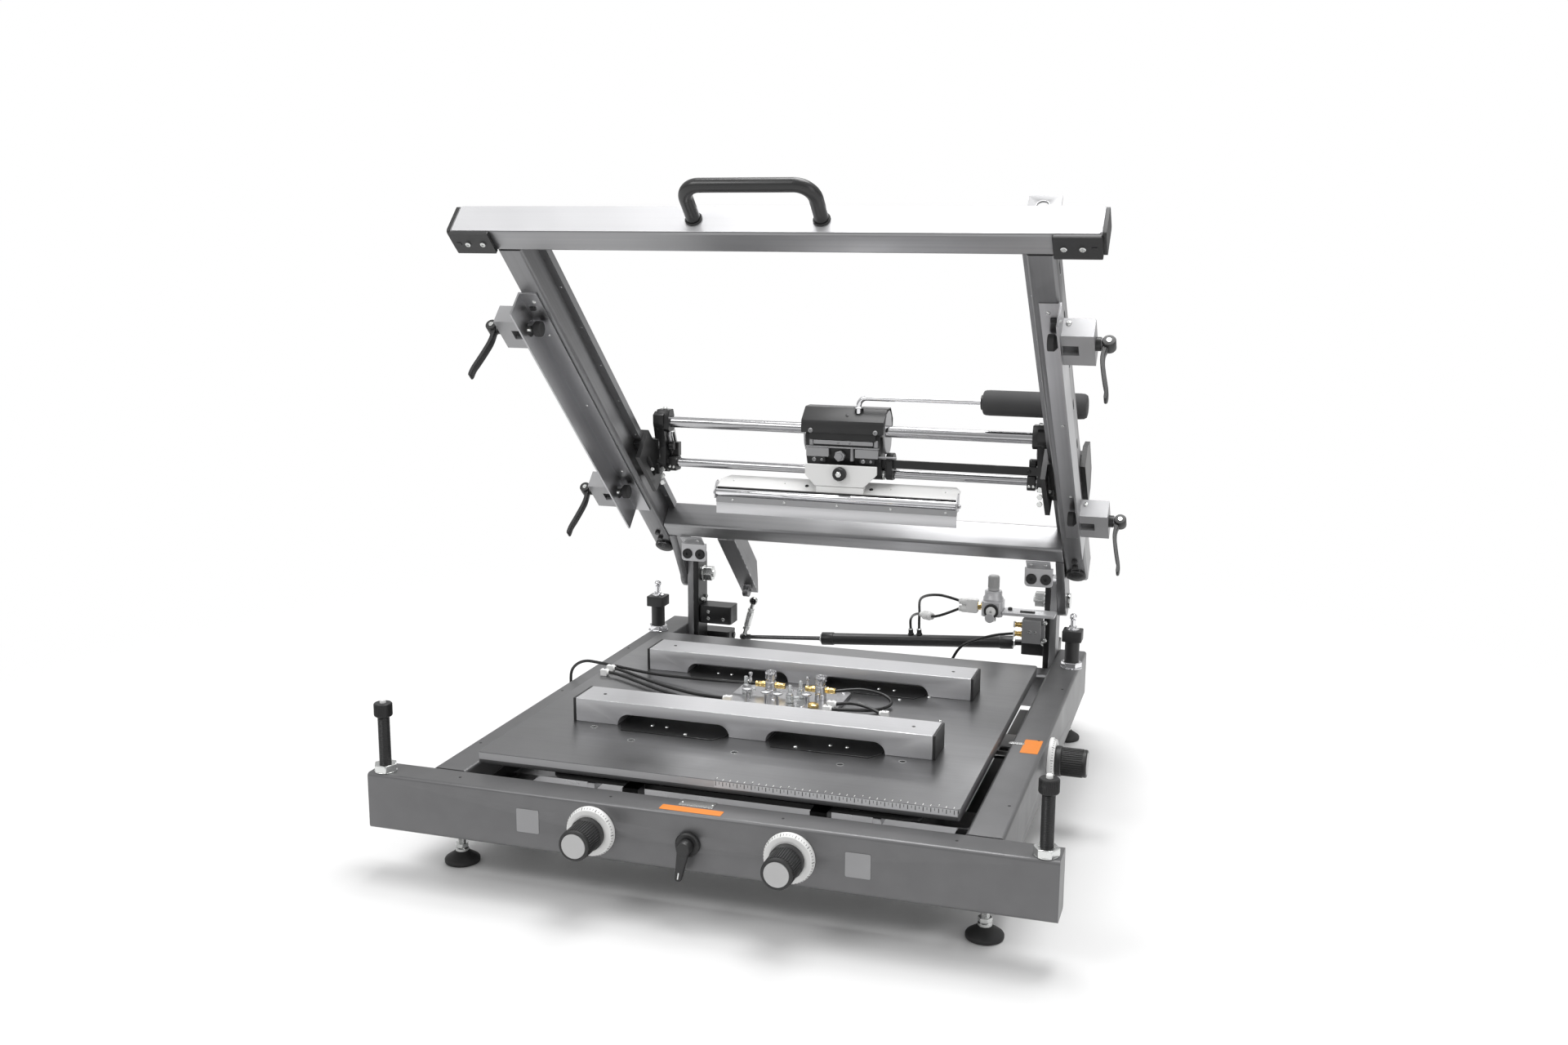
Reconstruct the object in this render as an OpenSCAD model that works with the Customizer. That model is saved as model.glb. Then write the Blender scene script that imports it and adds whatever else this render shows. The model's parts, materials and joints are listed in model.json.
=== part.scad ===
// Lift-lid stencil printing press for a bench: floor at z = 0, front towards -Y, +X to the right.
// The origin is the centre of the footprint, on the floor. The lid is drawn standing open.

/* [Base frame] */
// Overall width of the front beam, ear to ear
base_w = 950; // [900:5:1100]
// Depth from the front face to the rear ends of the side rails
base_len = 945; // [900:5:1050]
// Width over the two side rails
frame_w = 800; // [780:5:880]
// Height of the box section that the base is welded from
beam_h = 80; // [70:1:100]
// Depth of the box section
beam_d = 50; // [44:1:60]
// Wall of every welded box section
wall = 3; // [2:0.5:5]
// Outside corner radius of the box sections
edge_r = 5; // [4:0.5:8]
// How far the rear cross-member and its bearers lie below the top faces
rear_drop = 20; // [10:1:25]

/* [Feet] */
// Height of the underside of the beams over the floor
foot_h = 67; // [60:1:90]
// Diameter of a levelling foot's pad
foot_dia = 50; // [40:1:60]
// Diameter of the feet's threaded spindles
foot_rod = 12; // [8:1:16]

/* [Table] */
// Width of the table plate
table_w = 680; // [600:5:690]
// Depth of the table plate
table_l = 676; // [600:4:700]
// Thickness of the table plate
table_t = 16; // [10:1:20]
// Height of the table's top face over the beams
table_rise = 24; // [22:1:30]
// Gap from the front beam's front face to the table's front edge
table_front = 66; // [62:1:90]
// Travel of the table each way in X and in Y
table_travel = 5; // [2:1:6]
// Thickness of the two hidden stage plates
stage_t = 8; // [6:1:10]

/* [Support bars] */
// Length of a support bar without its end caps
bar_l = 538; // [400:2:600]
// Width of a support bar
bar_w = 62; // [50:1:70]
// Height of a support bar
bar_h = 35; // [28:1:45]
// Distance from the table's front edge to the front bar
bar_front = 167; // [120:1:180]
// Distance between the front faces of the two bars
bar_pitch = 282; // [240:1:320]
// Height of the long cut-outs under a bar
slot_h = 17; // [12:1:20]

/* [Lid] */
// Angle of the open lid from level
lid_open = 43.3; // [35:0.1:50]
// Overall width of the lid's front beam, with its end caps
lid_w = 940; // [880:5:1080]
// Distance from the hinge axis to the front face of the lid's beam
lid_len = 926; // [880:2:960]
// Height of the lid's box sections
lid_h = 51; // [40:1:60]
// Depth of the lid's front and rear box sections
lid_d = 40; // [34:1:50]
// Width of the two arms
arm_w = 38; // [32:1:46]
// Width over the two arms
arms_w = 806; // [790:2:880]
// Height of the lid's underside over the hinge axis when it is closed
lid_drop = 6.5; // [5:0.5:10]
// Distance from the hinge axis to the rear ends of the arms
arm_tail = 66; // [60:1:72]
// Distance from the hinge axis forward to the rear cross-member
cross_back = 117; // [112:1:130]
// Width and height of the guide strip along each arm
strip_size = 13; // [10:1:15]

/* [Hinge] */
// Height of the hinge axis over the beams
hinge_z = 95.7; // [92:0.1:110]
// Distance from the rear ends of the rails forward to the hinge axis
hinge_in = 21; // [18:1:26]
// Diameter of the two hinge bolts
pin_dia = 14; // [10:1:18]
// Thickness of a column's plates, silver and black together
column_t = 22; // [18:1:26]
// Depth of a column
column_d = 48; // [40:1:48]
// Height of a column over the beams
column_h = 140; // [130:1:150]

/* [Lid handle] */
// Diameter of the handle's tube
handle_dia = 20; // [14:1:26]
// Distance between the handle's legs
handle_w = 184; // [140:2:240]
// Distance from the beam to the middle of the handle's grip
handle_out = 66; // [50:1:80]

/* [Stencil clamps] */
// Depth of the clamp rails' side flanges under the lid
rail_drop = 44; // [36:1:50]
// Length of the clamp rails
clamp_rail_l = 590; // [520:5:640]
// Distance from the lid's front face to the rails' front ends
rail_in = 130; // [110:1:160]
// Distance from the front clamps to the rear clamps
clamp_pitch = 444; // [380:2:480]
// Size of a clamp block across the machine
block_w = 44; // [38:1:54]
// Length of a clamp block along its rail
block_l = 62; // [50:1:70]
// Length of a clamp lever
lever_l = 96; // [70:1:110]
// Diameter of a clamp's black foot
pad_dia = 24; // [18:1:28]
// Travel of a clamp's foot
pad_travel = 6; // [3:1:8]

/* [Print carriage] */
// Distance from the hinge axis to the upper rod
rod_u = 345; // [330:1:400]
// Height of the upper rod over the lid's underside
rod_rise = 98; // [90:1:110]
// Drop from the upper to the lower rod
rod_gap = 73; // [66:1:80]
// Diameter of the upper rod
rod_dia = 20; // [16:1:22]
// Diameter of the lower rod
low_rod_dia = 16; // [12:1:18]

/* [Print head] */
// Width of the head's cover
head_w = 144; // [120:2:170]
// Angle of the head and the blade to the lid
head_angle = 43.3; // [35:0.1:50]
// Length of the squeegee
squeegee_l = 424; // [300:4:460]
// Drop from the upper rod to the squeegee's hinge
tilt_drop = 48; // [44:1:56]
// Drop from the squeegee's hinge to the blade's edge
blade_drop = 104; // [96:1:112]
// Diameter of the head handle's rod
grip_rod = 9; // [7:0.5:12]
// Diameter of the black grip
grip_dia = 42; // [34:1:48]
// Length of the black grip
grip_l = 170; // [120:2:200]

/* [Adjusters] */
// Distance of the two front adjusters from the middle
knob_x = 137; // [110:1:200]
// Diameter of an adjuster's knob
knob_dia = 43; // [34:1:48]
// Length that an adjuster stands out of its beam
knob_out = 57; // [48:1:66]
// Diameter of the graduated rings
dial_dia = 68; // [58:1:72]
// Diameter of the adjusters' spindles
spindle_dia = 12; // [8:1:14]
// Distance from the front face back to the side adjuster
side_knob_y = 465; // [430:5:520]

/* [Stop posts] */
// Height of the front posts over the beam
front_post_h = 103; // [90:1:106]
// Diameter of the front posts' threaded columns
front_post_dia = 17; // [12:1:20]
// Height of the rear posts over the rails
rear_post_h = 96; // [80:1:99]
// Diameter of the rear posts' bodies
rear_post_dia = 25; // [20:1:28]
// Distance from the hinge axis forward to the rear posts
rear_post_in = 88; // [82:1:94]

/* [Pneumatics] */
// Diameter of the cylinder behind the table
cylinder_dia = 22; // [18:1:26]
// Length of the cylinder
cylinder_l = 366; // [300:2:380]
// Diameter of the cylinder's rod
cylinder_rod = 8; // [6:1:12]
// Diameter of the black hoses
hose_dia = 5; // [4:0.5:7]

/* [Hidden] */

// Fits and clearances
gap = 0.3;
run = 0.05;
cut = 5;
fine = 96;
small = 48;

// Places along the base, measured from the front face and the beams' top
strut_back = 26;
strut_r = cylinder_dia / 2 + wall;
y_front = -(base_len + strut_back + strut_r - knob_out) / 2;
z_top = foot_h + beam_h;
rail_x = frame_w / 2 - beam_d / 2;
inner_x = frame_w / 2 - beam_d;
hinge_y = base_len - hinge_in;
column_y = base_len - column_d;

// Frame fittings
bearer_l = 60;
bearer_t = 10;
bearer_z = -60;
rear_beam_d = 50;
rear_beam_in = 60;
rear_beam_y = column_y - rear_beam_in;
guide_w = 12;
guide_h = 11;
guide_x = 0.31 * table_w;
shoe = 40;
spindle_z = -beam_h / 2;
nut_af = 24;
nut_h = 10;
foot_x = rail_x;
foot_rear_in = 60;
foot_front_in = beam_d + beam_d / 2;

// Stages under the table
y_stage_z = -36;
x_stage_z = -16;
y_stage_w = 0.8 * table_w;
y_stage_l = 0.78 * table_l;
x_stage_w = 0.88 * table_w;
x_stage_l = 0.7 * table_l;
stage_front = table_front + 0.09 * table_l;
table_mid = table_front + table_l / 2;
spigot_dia = 120;
pivot_dia = 20;
drive_nut = 24;
nut_z = spindle_z - 3 * drive_nut / 8;
x_guide_h = 9;
x_nut_x = x_stage_w / 2 - drive_nut / 4;
x_nut_h = x_stage_z + stage_t - nut_z;

// Lid
arm_in_x = arms_w / 2 - arm_w;
strip_z = lid_drop + lid_h - strip_size;
lug_r = 27;
lug_gap = 0.4;
washer_t = 5;
cap_t = 5;
stop_l = 63;
stop_t = 5.5;
rail_t = 3;
rail_lip = 28;
block_h = 32;
clamp_in = 63;
clamp_u1 = lid_len - rail_in - clamp_in;
clamp_w = -12;
lever_r = 9.5;
lever_t = 7;
boss_r = 9;
boss_l = 8;
tongue_t = 6;
lever_pin = 5;
skin = 1.5;
pad_h = 18;
pad_stem = 10;
buffer_w = 49;
buffer_l = 93;
buffer_x = 321;
buffer_t = 3;
buffer_r = 9;

// Carriage and head, in the lid's own directions and then in the head's
rod_w = lid_drop + rod_rise;
low_back = 11;
slider_t = 8;
slider_l = 104;
slider_in = arm_in_x - strip_size - gap - slider_t;
bracket_t = 16;
cover_front = 26;
cover_top = 38;
cover_back = 42;
cover_drop = 4;
cover_t = 3;
core_w = 40;
jaw_t = 16;
jaw_z = -45;
plate_w = 126;
plate_h = 37;
plate_t = 5;
pivot_drop = 71;
grip_mid = 320;
grip_rise = 56;

// Pneumatics
strut_z = -2;
strut_x = 263;
strut_slope = 3.9;
strut_rod_l = 160;
strut_tail = 20;

// A box section's outline, centred
module section(a, b, r) {
  square([a - 2 * r, b], center = true);
  square([a, b - 2 * r], center = true);
  for (x = [-1, 1], y = [-1, 1])
    translate([x * (a / 2 - r), y * (b / 2 - r)]) circle(r, $fn = small);
}

// A tube along Z with its outline centred
module tube(a, b, l, t, r) {
  linear_extrude(l) difference() {
    section(a, b, r);
    section(a - 2 * t, b - 2 * t, r - t / 2);
  }
}

// A closed tube along Z: the same, with a plate of its wall's thickness in each end
module closed_tube(a, b, l, t, r) {
  difference() {
    linear_extrude(l) section(a, b, r);
    translate([0, 0, t]) linear_extrude(l - 2 * t) section(a - 2 * t, b - 2 * t, r - t / 2);
  }
}

module along_x() { rotate([90, 0, 90]) children(); }
module along_y() { rotate([-90, 0, 0]) children(); }
module on_side(s) { if (s > 0) children(); else mirror([1, 0, 0]) children(); }
module both_sides() { for (s = [-1, 1]) on_side(s) children(); }

// Places: over the base, in the closed lid turned open, and in the hanging head
module on_base() { translate([0, y_front, z_top]) children(); }
module in_lid() {
  on_base() translate([0, hinge_y, hinge_z]) rotate([-lid_open, 0, 0]) children();
}
module in_head() { in_lid() translate([0, -rod_u, rod_w]) rotate([head_angle, 0, 0]) children(); }
module on_table() { on_base() translate([0, table_front, table_rise]) children(); }

module hex(af, h) { cylinder(h = h, d = af / cos(30), $fn = 6); }
module disc(d, h) { cylinder(h = h, d = d, $fn = fine); }
module rod_x(d, l) { rotate([0, 90, 0]) cylinder(h = l, d = d, center = true, $fn = small); }
module block(size, r) {
  linear_extrude(size[2]) translate([size[0] / 2, size[1] / 2]) section(size[0], size[1], r);
}

// A hose: one closed tube along a smooth curve through the route's points
function unit(v) = v / norm(v);
function blend(a, b, c, d, t) = ((2 * b) + (c - a) * t + (2 * a - 5 * b + 4 * c - d) * t * t
  + (3 * b - a - 3 * c + d) * t * t * t) / 2;
function smooth_route(p, k) = [
  for (i = [0 : len(p) - 2], j = [0 : k - 1])
    blend(p[max(i - 1, 0)], p[i], p[i + 1], p[min(i + 2, len(p) - 1)], j / k),
  p[len(p) - 1]];
function headings(r) = [for (i = [0 : len(r) - 1]) unit(r[min(i + 1, len(r) - 1)] - r[max(i - 1, 0)])];
function square_to(n, t) = unit(n - (n * t) * t);
function sides_of(t, n) = [
  for (i = 0, a = square_to(n, t[0]); i < len(t); i = i + 1, a = i < len(t) ? square_to(a, t[i]) : a) a];
module hose(p, d, k, sides) {
  r = smooth_route(p, k);
  t = headings(r);
  a = sides_of(t, [0, 0, 1]);
  n = len(r);
  points = [for (i = [0 : n - 1], j = [0 : sides - 1])
    r[i] + d / 2 * (cos(360 * j / sides) * a[i] + sin(360 * j / sides) * cross(t[i], a[i]))];
  walls = [for (i = [0 : n - 2], j = [0 : sides - 1], f = [0, 1])
    let (q = i * sides + j, w = i * sides + (j + 1) % sides)
      f == 0 ? [q, q + sides, w] : [w, q + sides, w + sides]];
  first = [for (j = [1 : sides - 2]) [0, j, j + 1]];
  last = [for (j = [1 : sides - 2]) [(n - 1) * sides, (n - 1) * sides + j + 1, (n - 1) * sides + j]];
  polyhedron(points, concat(walls, first, last));
}

// Base frame
module front_beam() color("dimgray") on_base() difference() {
  translate([-base_w / 2, beam_d / 2, -beam_h / 2]) along_x()
    closed_tube(beam_d, beam_h, base_w, wall, edge_r);
  for (x = [-knob_x, knob_x]) translate([x, -cut, spindle_z])
    along_y() disc(spindle_dia + 2 * run, beam_d + 2 * cut);
}

module side_rails() color("dimgray") on_base() difference() {
  both_sides() translate([rail_x, beam_d, -beam_h / 2]) along_y()
    closed_tube(beam_d, beam_h, base_len - beam_d, wall, edge_r);
  translate([inner_x - cut, side_knob_y, spindle_z]) along_x() disc(spindle_dia + 2 * run, beam_d + 2 * cut);
}

module cross_members() color("gray") on_base() {
  translate([-inner_x, rear_beam_y + rear_beam_d / 2, -rear_drop - (beam_h - rear_drop) / 2]) along_x()
    closed_tube(rear_beam_d, beam_h - rear_drop, 2 * inner_x, wall, edge_r);
  for (y = [stage_front + bearer_l, stage_front + y_stage_l - 2 * bearer_l])
    translate([-inner_x, y, bearer_z]) cube([2 * inner_x, bearer_l, bearer_t]);
  for (s = [-1, 1]) translate([s * guide_x - guide_w / 2, stage_front + bearer_l / 2, bearer_z + bearer_t])
    cube([guide_w, y_stage_l - bearer_l, guide_h]);
}

module columns() color("silver") on_base() difference() {
  both_sides() translate([inner_x - column_t, column_y, -beam_h])
    along_x() linear_extrude(column_t) column_outline();
  translate([-inner_x - cut, hinge_y, hinge_z]) along_x() disc(pin_dia, 2 * inner_x + 2 * cut);
}
module column_outline() {
  top = column_h + beam_h;
  r = column_d / 4;
  square([column_d, top - r]);
  translate([r, 0]) square([column_d - 2 * r, top]);
  for (x = [r, column_d - r]) translate([x, top - r]) circle(r, $fn = small);
}

// Stop posts
front_cap_h = 0.18 * front_post_h;
front_tip_h = 0.05 * front_post_h;
module front_posts() color("darkslategray") on_base() both_sides()
  translate([base_w / 2 - post_in, beam_d / 3, 0]) front_post();
post_in = 19;
module front_post() {
  body = front_post_h - front_tip_h;
  hex(1.7 * front_post_dia, front_post_dia * 0.65);
  disc(front_post_dia, body);
  translate([0, 0, body - front_cap_h]) linear_extrude(front_cap_h) knurl(1.5 * front_post_dia, 20);
  translate([0, 0, body]) disc(front_post_dia / 2, front_tip_h);
}
// A grip's outline: a circle with hollow flutes
module knurl(d, n) difference() {
  circle(d = d, $fn = fine);
  for (i = [0 : n - 1]) rotate(360 * i / n) translate([d / 2, 0]) circle(d = 1.2 * d / n, $fn = 16);
}

module rear_posts() color("black") on_base() both_sides()
  translate([inner_x + 0.72 * beam_d, hinge_y - rear_post_in, 0]) rear_post();
module rear_post() {
  hex(1.25 * rear_post_dia, rear_post_dia * 0.45);
  disc(rear_post_dia, 0.55 * rear_post_h);
  translate([0, 0, rear_post_h / 2]) hex(1.5 * rear_post_dia, 0.2 * rear_post_h);
  translate([0, 0, 0.7 * rear_post_h]) disc(0.9 * rear_post_dia, 0.03 * rear_post_h);
  translate([0, 0, 0.7 * rear_post_h]) disc(0.36 * rear_post_dia, 0.22 * rear_post_h);
  translate([0, 0, rear_post_h - 0.25 * rear_post_dia]) sphere(d = rear_post_dia / 2, $fn = small);
}

// Hinge bolts with an inner nut and washer and an outer head
hinge_nut_l = 20;
module hinge_pins() color("lightgray") on_base() both_sides() translate([0, hinge_y, hinge_z]) {
  face = inner_x - column_t;
  translate([face - hinge_nut_l, 0, 0]) along_x() hex(1.8 * pin_dia, hinge_nut_l - wall);
  translate([face - wall, 0, 0]) along_x() disc(2.2 * pin_dia, wall);
  translate([face - hinge_nut_l - wall, 0, 0]) along_x() disc(pin_dia,
    hinge_nut_l + wall + arm_in_x + gap - face);
  translate([arm_in_x + gap, 0, 0]) along_x() disc(2 * pin_dia, washer_t);
}

// Levelling feet
module feet() color("black") on_base() both_sides()
  for (y = [foot_front_in, base_len - foot_rear_in]) translate([foot_x, y, -beam_h]) foot();
module foot() {
  translate([0, 0, -nut_h]) hex(nut_af, nut_h);
  translate([0, 0, -foot_h]) rotate_extrude($fn = fine) polygon([
    [0, 0], [0.46 * foot_dia, 0], [foot_dia / 2, 0.04 * foot_dia], [foot_dia / 2, 0.12 * foot_dia],
    [0.3 * foot_dia, 0.26 * foot_dia], [0.2 * foot_dia, 0.34 * foot_dia], [0, 0.34 * foot_dia]]);
  translate([0, 0, -foot_h + 0.34 * foot_dia]) disc(foot_rod, foot_h - 0.34 * foot_dia - nut_h);
}

// Adjusters: a graduated ring on the beam, and the knob with its spindle
dial_t = 10;
module dial() difference() {
  rotate_extrude($fn = fine) polygon([
    [0, 0], [dial_dia / 2, 0], [dial_dia / 2, dial_t / 2], [0.46 * dial_dia, dial_t], [0, dial_t]]);
  translate([0, 0, -cut]) disc(spindle_dia + 2 * run, dial_t + 2 * cut);
}
module at_front(x) { on_base() translate([x, 0, spindle_z]) rotate([90, 0, 0]) children(); }
module at_side() { on_base() translate([frame_w / 2, side_knob_y, spindle_z]) rotate([0, 90, 0]) children(); }
module dials() color("white") {
  for (x = [-knob_x, knob_x]) at_front(x) dial();
  at_side() dial();
}
module knob(reach) {
  grip = knob_out - dial_t - gap;
  translate([0, 0, dial_t + gap]) {
    disc(1.06 * knob_dia, 0.22 * grip);
    linear_extrude(0.9 * grip) knurl(knob_dia, 36);
    disc(0.86 * knob_dia, grip);
  }
  translate([0, 0, -reach]) disc(spindle_dia, reach + dial_t + gap);
}
y_reach = stage_front + drive_nut / 2;
module knob_y_left() color("black") at_front(-knob_x) knob(y_reach);
module knob_y_right() color("black") at_front(knob_x) knob(y_reach);
module knob_x_body() knob(frame_w / 2 - x_nut_x + drive_nut / 4);

// Table lock: rosette and lever
rosette_dia = 33;
rosette_t = 8;
module lock_rosette() color("black") at_front(0) difference() {
  disc(rosette_dia, rosette_t);
  translate([0, 0, wall]) disc(rosette_dia / 2 + 2 * run, rosette_t);
}
lock_hub = rosette_dia / 2;
lock_l = 44;
lock_lean = 10;
module lock_lever() color("black") at_front(0) {
  translate([0, 0, wall + gap]) disc(lock_hub, rosette_t - wall);
  translate([0, 0, rosette_t]) disc(1.2 * lock_hub, 0.9 * lock_hub);
  translate([0, 0, rosette_t + lock_hub / 3]) rotate(-lock_lean) linear_extrude(lock_hub / 2)
    polygon([[-0.5 * lock_hub, 0], [0.5 * lock_hub, 0], [0.35 * lock_hub, -lock_l],
      [-0.35 * lock_hub, -lock_l]]);
}

// Stages under the table
module rider(size, groove) difference() {
  translate([-size / 2, -size / 2, 0]) cube([size, size, y_stage_z - bearer_z - bearer_t - gap]);
  translate([-groove / 2 - gap, -size, -cut]) cube([groove + 2 * gap, 2 * size, guide_h + cut]);
}
module y_stage() color("slategray") on_base() {
  translate([-y_stage_w / 2, stage_front + drive_nut, y_stage_z])
    block([y_stage_w, y_stage_l - drive_nut, stage_t], 4 * edge_r);
  for (s = [-1, 1], y = [stage_front + 1.5 * bearer_l, stage_front + y_stage_l - 1.5 * bearer_l])
    translate([s * guide_x, y, bearer_z + bearer_t + gap]) rider(shoe, guide_w);
  for (x = [-knob_x, knob_x]) difference() {
    translate([x - drive_nut / 2, stage_front, nut_z])
      cube([drive_nut, drive_nut, y_stage_z + stage_t - nut_z]);
    translate([x, stage_front - cut, spindle_z]) along_y() disc(spindle_dia + 2 * gap, drive_nut + 2 * cut);
  }
  for (y = [-1, 1]) translate([-y_stage_w / 2 + shoe, table_mid + y * x_stage_l / 3 - guide_w / 2,
    y_stage_z + stage_t])
    cube([y_stage_w - 2 * shoe, guide_w, x_guide_h]);
}
module x_stage() color("slategray") on_base() {
  difference() {
    translate([-x_stage_w / 2, table_mid - x_stage_l / 2, x_stage_z]) block([x_stage_w, x_stage_l,
      stage_t], 4 * edge_r);
    translate([0, table_mid, x_stage_z - cut]) disc(pivot_dia + 2 * run, stage_t + 2 * cut);
  }
  for (x = [-1, 1], y = [-1, 1]) translate([x * y_stage_w / 3, table_mid + y * x_stage_l / 3,
    y_stage_z + stage_t + gap])
    difference() {
      translate([-shoe / 2, -shoe / 2, 0]) cube([shoe, shoe, x_stage_z - y_stage_z - stage_t - gap]);
      translate([-shoe, -guide_w / 2 - gap, -cut]) cube([2 * shoe, guide_w + 2 * gap, x_guide_h + cut]);
    }
  difference() {
    translate([x_nut_x - drive_nut / 2, side_knob_y - drive_nut, x_stage_z + stage_t - x_nut_h])
      cube([drive_nut, 2 * drive_nut, x_nut_h]);
    translate([x_nut_x, side_knob_y - spindle_dia / 2 - table_travel - gap,
      spindle_z - spindle_dia / 2 - gap])
      translate([-drive_nut, 0, 0]) cube([2 * drive_nut, spindle_dia + 2 * table_travel + 2 * gap,
        spindle_dia + 2 * gap]);
  }
}

// Table
table_hole = 8;
hole_shares = [[-0.34, 0.22], [-0.23, 0.165], [0, 0.163], [0.225, 0.163], [0.34, 0.22], [-0.34, 0.72],
  [0.34, 0.72], [0.1, 0.52], [0.16, 0.56], [-0.2, 0.86], [0.2, 0.86]];
module table_plate() color("silver") on_base() {
  difference() {
    translate([-table_w / 2, table_front, table_rise - table_t]) block([table_w, table_l, table_t], edge_r);
    for (h = hole_shares) translate([h[0] * table_w, table_front + h[1] * table_l, table_rise - table_hole])
      disc(table_hole, table_hole + cut);
  }
  spigot_z = x_stage_z + stage_t + gap;
  translate([0, table_mid, spigot_z]) disc(spigot_dia, table_rise - table_t - spigot_z);
  translate([0, table_mid, x_stage_z + gap]) disc(pivot_dia, stage_t + 2 * gap);
}

// Support bars: an extruded profile with two long cut-outs under its front
slot_shares = [[0.125, 0.447], [0.55, 0.875]];
module bar_body() difference() {
  block([bar_l, bar_w, bar_h], bar_h / 20);
  for (s = slot_shares) {
    x0 = s[0] * bar_l;
    x1 = s[1] * bar_l;
    translate([x0 + slot_h, -cut, -cut])
      cube([x1 - x0 - 2 * slot_h, 0.72 * bar_w + cut, slot_h + cut]);
    for (x = [x0 + slot_h, x1 - slot_h]) translate([x, -cut, 0]) along_y()
      disc(2 * slot_h, 0.72 * bar_w + cut);
  }
}
module at_bar(y) { on_table() translate([-bar_l / 2, y, 0]) children(); }
module support_bars() color("gainsboro") for (y = [bar_front, bar_front + bar_pitch]) at_bar(y) bar_body();
bar_cap = 4;
module bar_caps() color("black") for (y = [bar_front, bar_front + bar_pitch], x = [-bar_cap, bar_l])
  at_bar(y) translate([x, 0, 0]) block([bar_cap, bar_w, bar_h], bar_cap / 4);

// Valve cluster between the bars: a base plate, two turned cylinders, brass fittings and thumb pins
cluster_w = 176;
cluster_l = 150;
cluster_t = 6;
cluster_y = bar_front + bar_w + (bar_pitch - bar_w - cluster_l) / 2;
turned_dia = 18;
turned_h = 37;
turned_z = 18;
brass_dia = 9;
brass_l = 15;
pin_h = 25;
pin_head = 16;
pin_shares = [[-0.26, 0.23], [-0.08, 0.19], [0.03, 0.17], [0.27, 0.24]];
turned_shares = [[-0.17, 0.67], [0.29, 0.67]];
clear_shares = [[0.07, 0.44], [0.12, 0.62], [-0.38, 0.6]];
function on_plate(s) = [s[0] * cluster_w, cluster_y + s[1] * cluster_l, cluster_t];
module manifold() color("lightgray") on_table() {
  translate([-cluster_w / 2, cluster_y, 0]) block([cluster_w, cluster_l, cluster_t], cluster_t);
  for (p = turned_shares) translate(on_plate(p)) turned_post();
  for (p = pin_shares) translate(on_plate(p)) {
    disc(pin_head / 4, pin_h);
    translate([0, 0, pin_h]) disc(pin_head, pin_head / 6);
  }
  for (p = clear_shares) translate(on_plate(p)) {
    disc(0.7 * turned_dia, pin_h / 2);
    translate([0, 0, pin_h / 2]) hex(0.5 * turned_dia, pin_h / 4);
    translate([0, 0, pin_h / 2]) disc(0.36 * turned_dia, pin_h / 2 + turned_dia / 4);
  }
  for (f = [low_fit, left_fit, loop_fit, mid_fit, end_fit, edge_fit, edge_fit_rear]) translate(f) fitting();
  translate(plug_at) rotate([180, 0, 0]) {
    disc(2 * hose_dia, plug_l);
    translate([0, 0, plug_l / 4]) hex(2.4 * hose_dia, plug_l / 4);
  }
}
module turned_post() {
  disc(turned_dia, 0.55 * turned_h);
  disc(0.74 * turned_dia, turned_h);
  translate([0, 0, 0.68 * turned_h]) difference() {
    disc(turned_dia, 0.32 * turned_h);
    translate([0, 0, 0.16 * turned_h]) disc(0.74 * turned_dia, 0.32 * turned_h);
  }
  for (s = [-1, 1]) translate([0, 0, turned_z - cluster_t / 2]) rotate([0, s * 90, 0])
    disc(brass_dia, turned_dia / 2 + brass_l);
}
// A small push-in fitting, standing on the table or on the plate
module fitting() translate([-1.2 * hose_dia, -hose_dia, 0])
  block([2.4 * hose_dia, 2 * hose_dia, 2.2 * hose_dia], hose_dia / 4);
fit_z = 1.2 * hose_dia;
post_x = turned_dia / 2 + brass_l;
low_fit = [-cluster_w / 2 + 2 * hose_dia, cluster_y + 2 * hose_dia, cluster_t];
left_fit = [-cluster_w / 2 + 2 * hose_dia, cluster_y + 8 * hose_dia, cluster_t];
loop_fit = [cluster_w / 2 - 2 * hose_dia, cluster_y + 8 * hose_dia, cluster_t];
mid_fit = [cluster_w / 2 - 2 * hose_dia, cluster_y + 13 * hose_dia, cluster_t];
end_fit = [0.24 * table_w, cluster_y + 12 * hose_dia, 0];
edge_fit = [-table_w / 2 + 3 * hose_dia, 0.58 * table_l, 0];
edge_fit_rear = edge_fit + [0, 5 * hose_dia, 0];

// Hoses on the table: over the left rail to a plug for the air supply, to the table's edge, and the
// loops on the right
plug_l = 34;
plug_at = [-416, 456, -75];
function beside(f, s) = f + [s * 1.2 * hose_dia, 0, fit_z];
post_left = on_plate(turned_shares[0]) + [-post_x, 0, turned_z - cluster_t / 2];
post_right = on_plate(turned_shares[1]) + [post_x, 0, turned_z - cluster_t / 2];
over_route = [post_left, [-130, 374, 16], [-240, 404, 7], [-345, 430, 8], [-385, 440, 5],
  [-410, 448, -14], [-416, 454, -45], plug_at];
edge_route = [beside(low_fit, -1), [-120, 290, 8], [-200, 330, 5], [-290, 382, 6], beside(edge_fit, 1)];
rear_route = [beside(left_fit, -1), [-140, 322, 8], [-210, 358, 5], [-290, 402, 6], beside(edge_fit_rear, 1)];
loop_route = [post_right, [112, 382, 22], [146, 390, 14], [160, 374, 6], [140, 340, 5], beside(loop_fit, 1)];
end_route = [beside(mid_fit, 1), [110, 332, 15], [135, 330, 12], beside(end_fit, -1)];
module table_hoses() color("black") on_table() {
  hose(over_route, hose_dia, 2, 8);
  hose(edge_route, hose_dia, 2, 8);
  hose(rear_route, hose_dia, 2, 8);
  hose(loop_route, hose_dia, 2, 8);
  hose(end_route, hose_dia, 2, 8);
}

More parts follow.
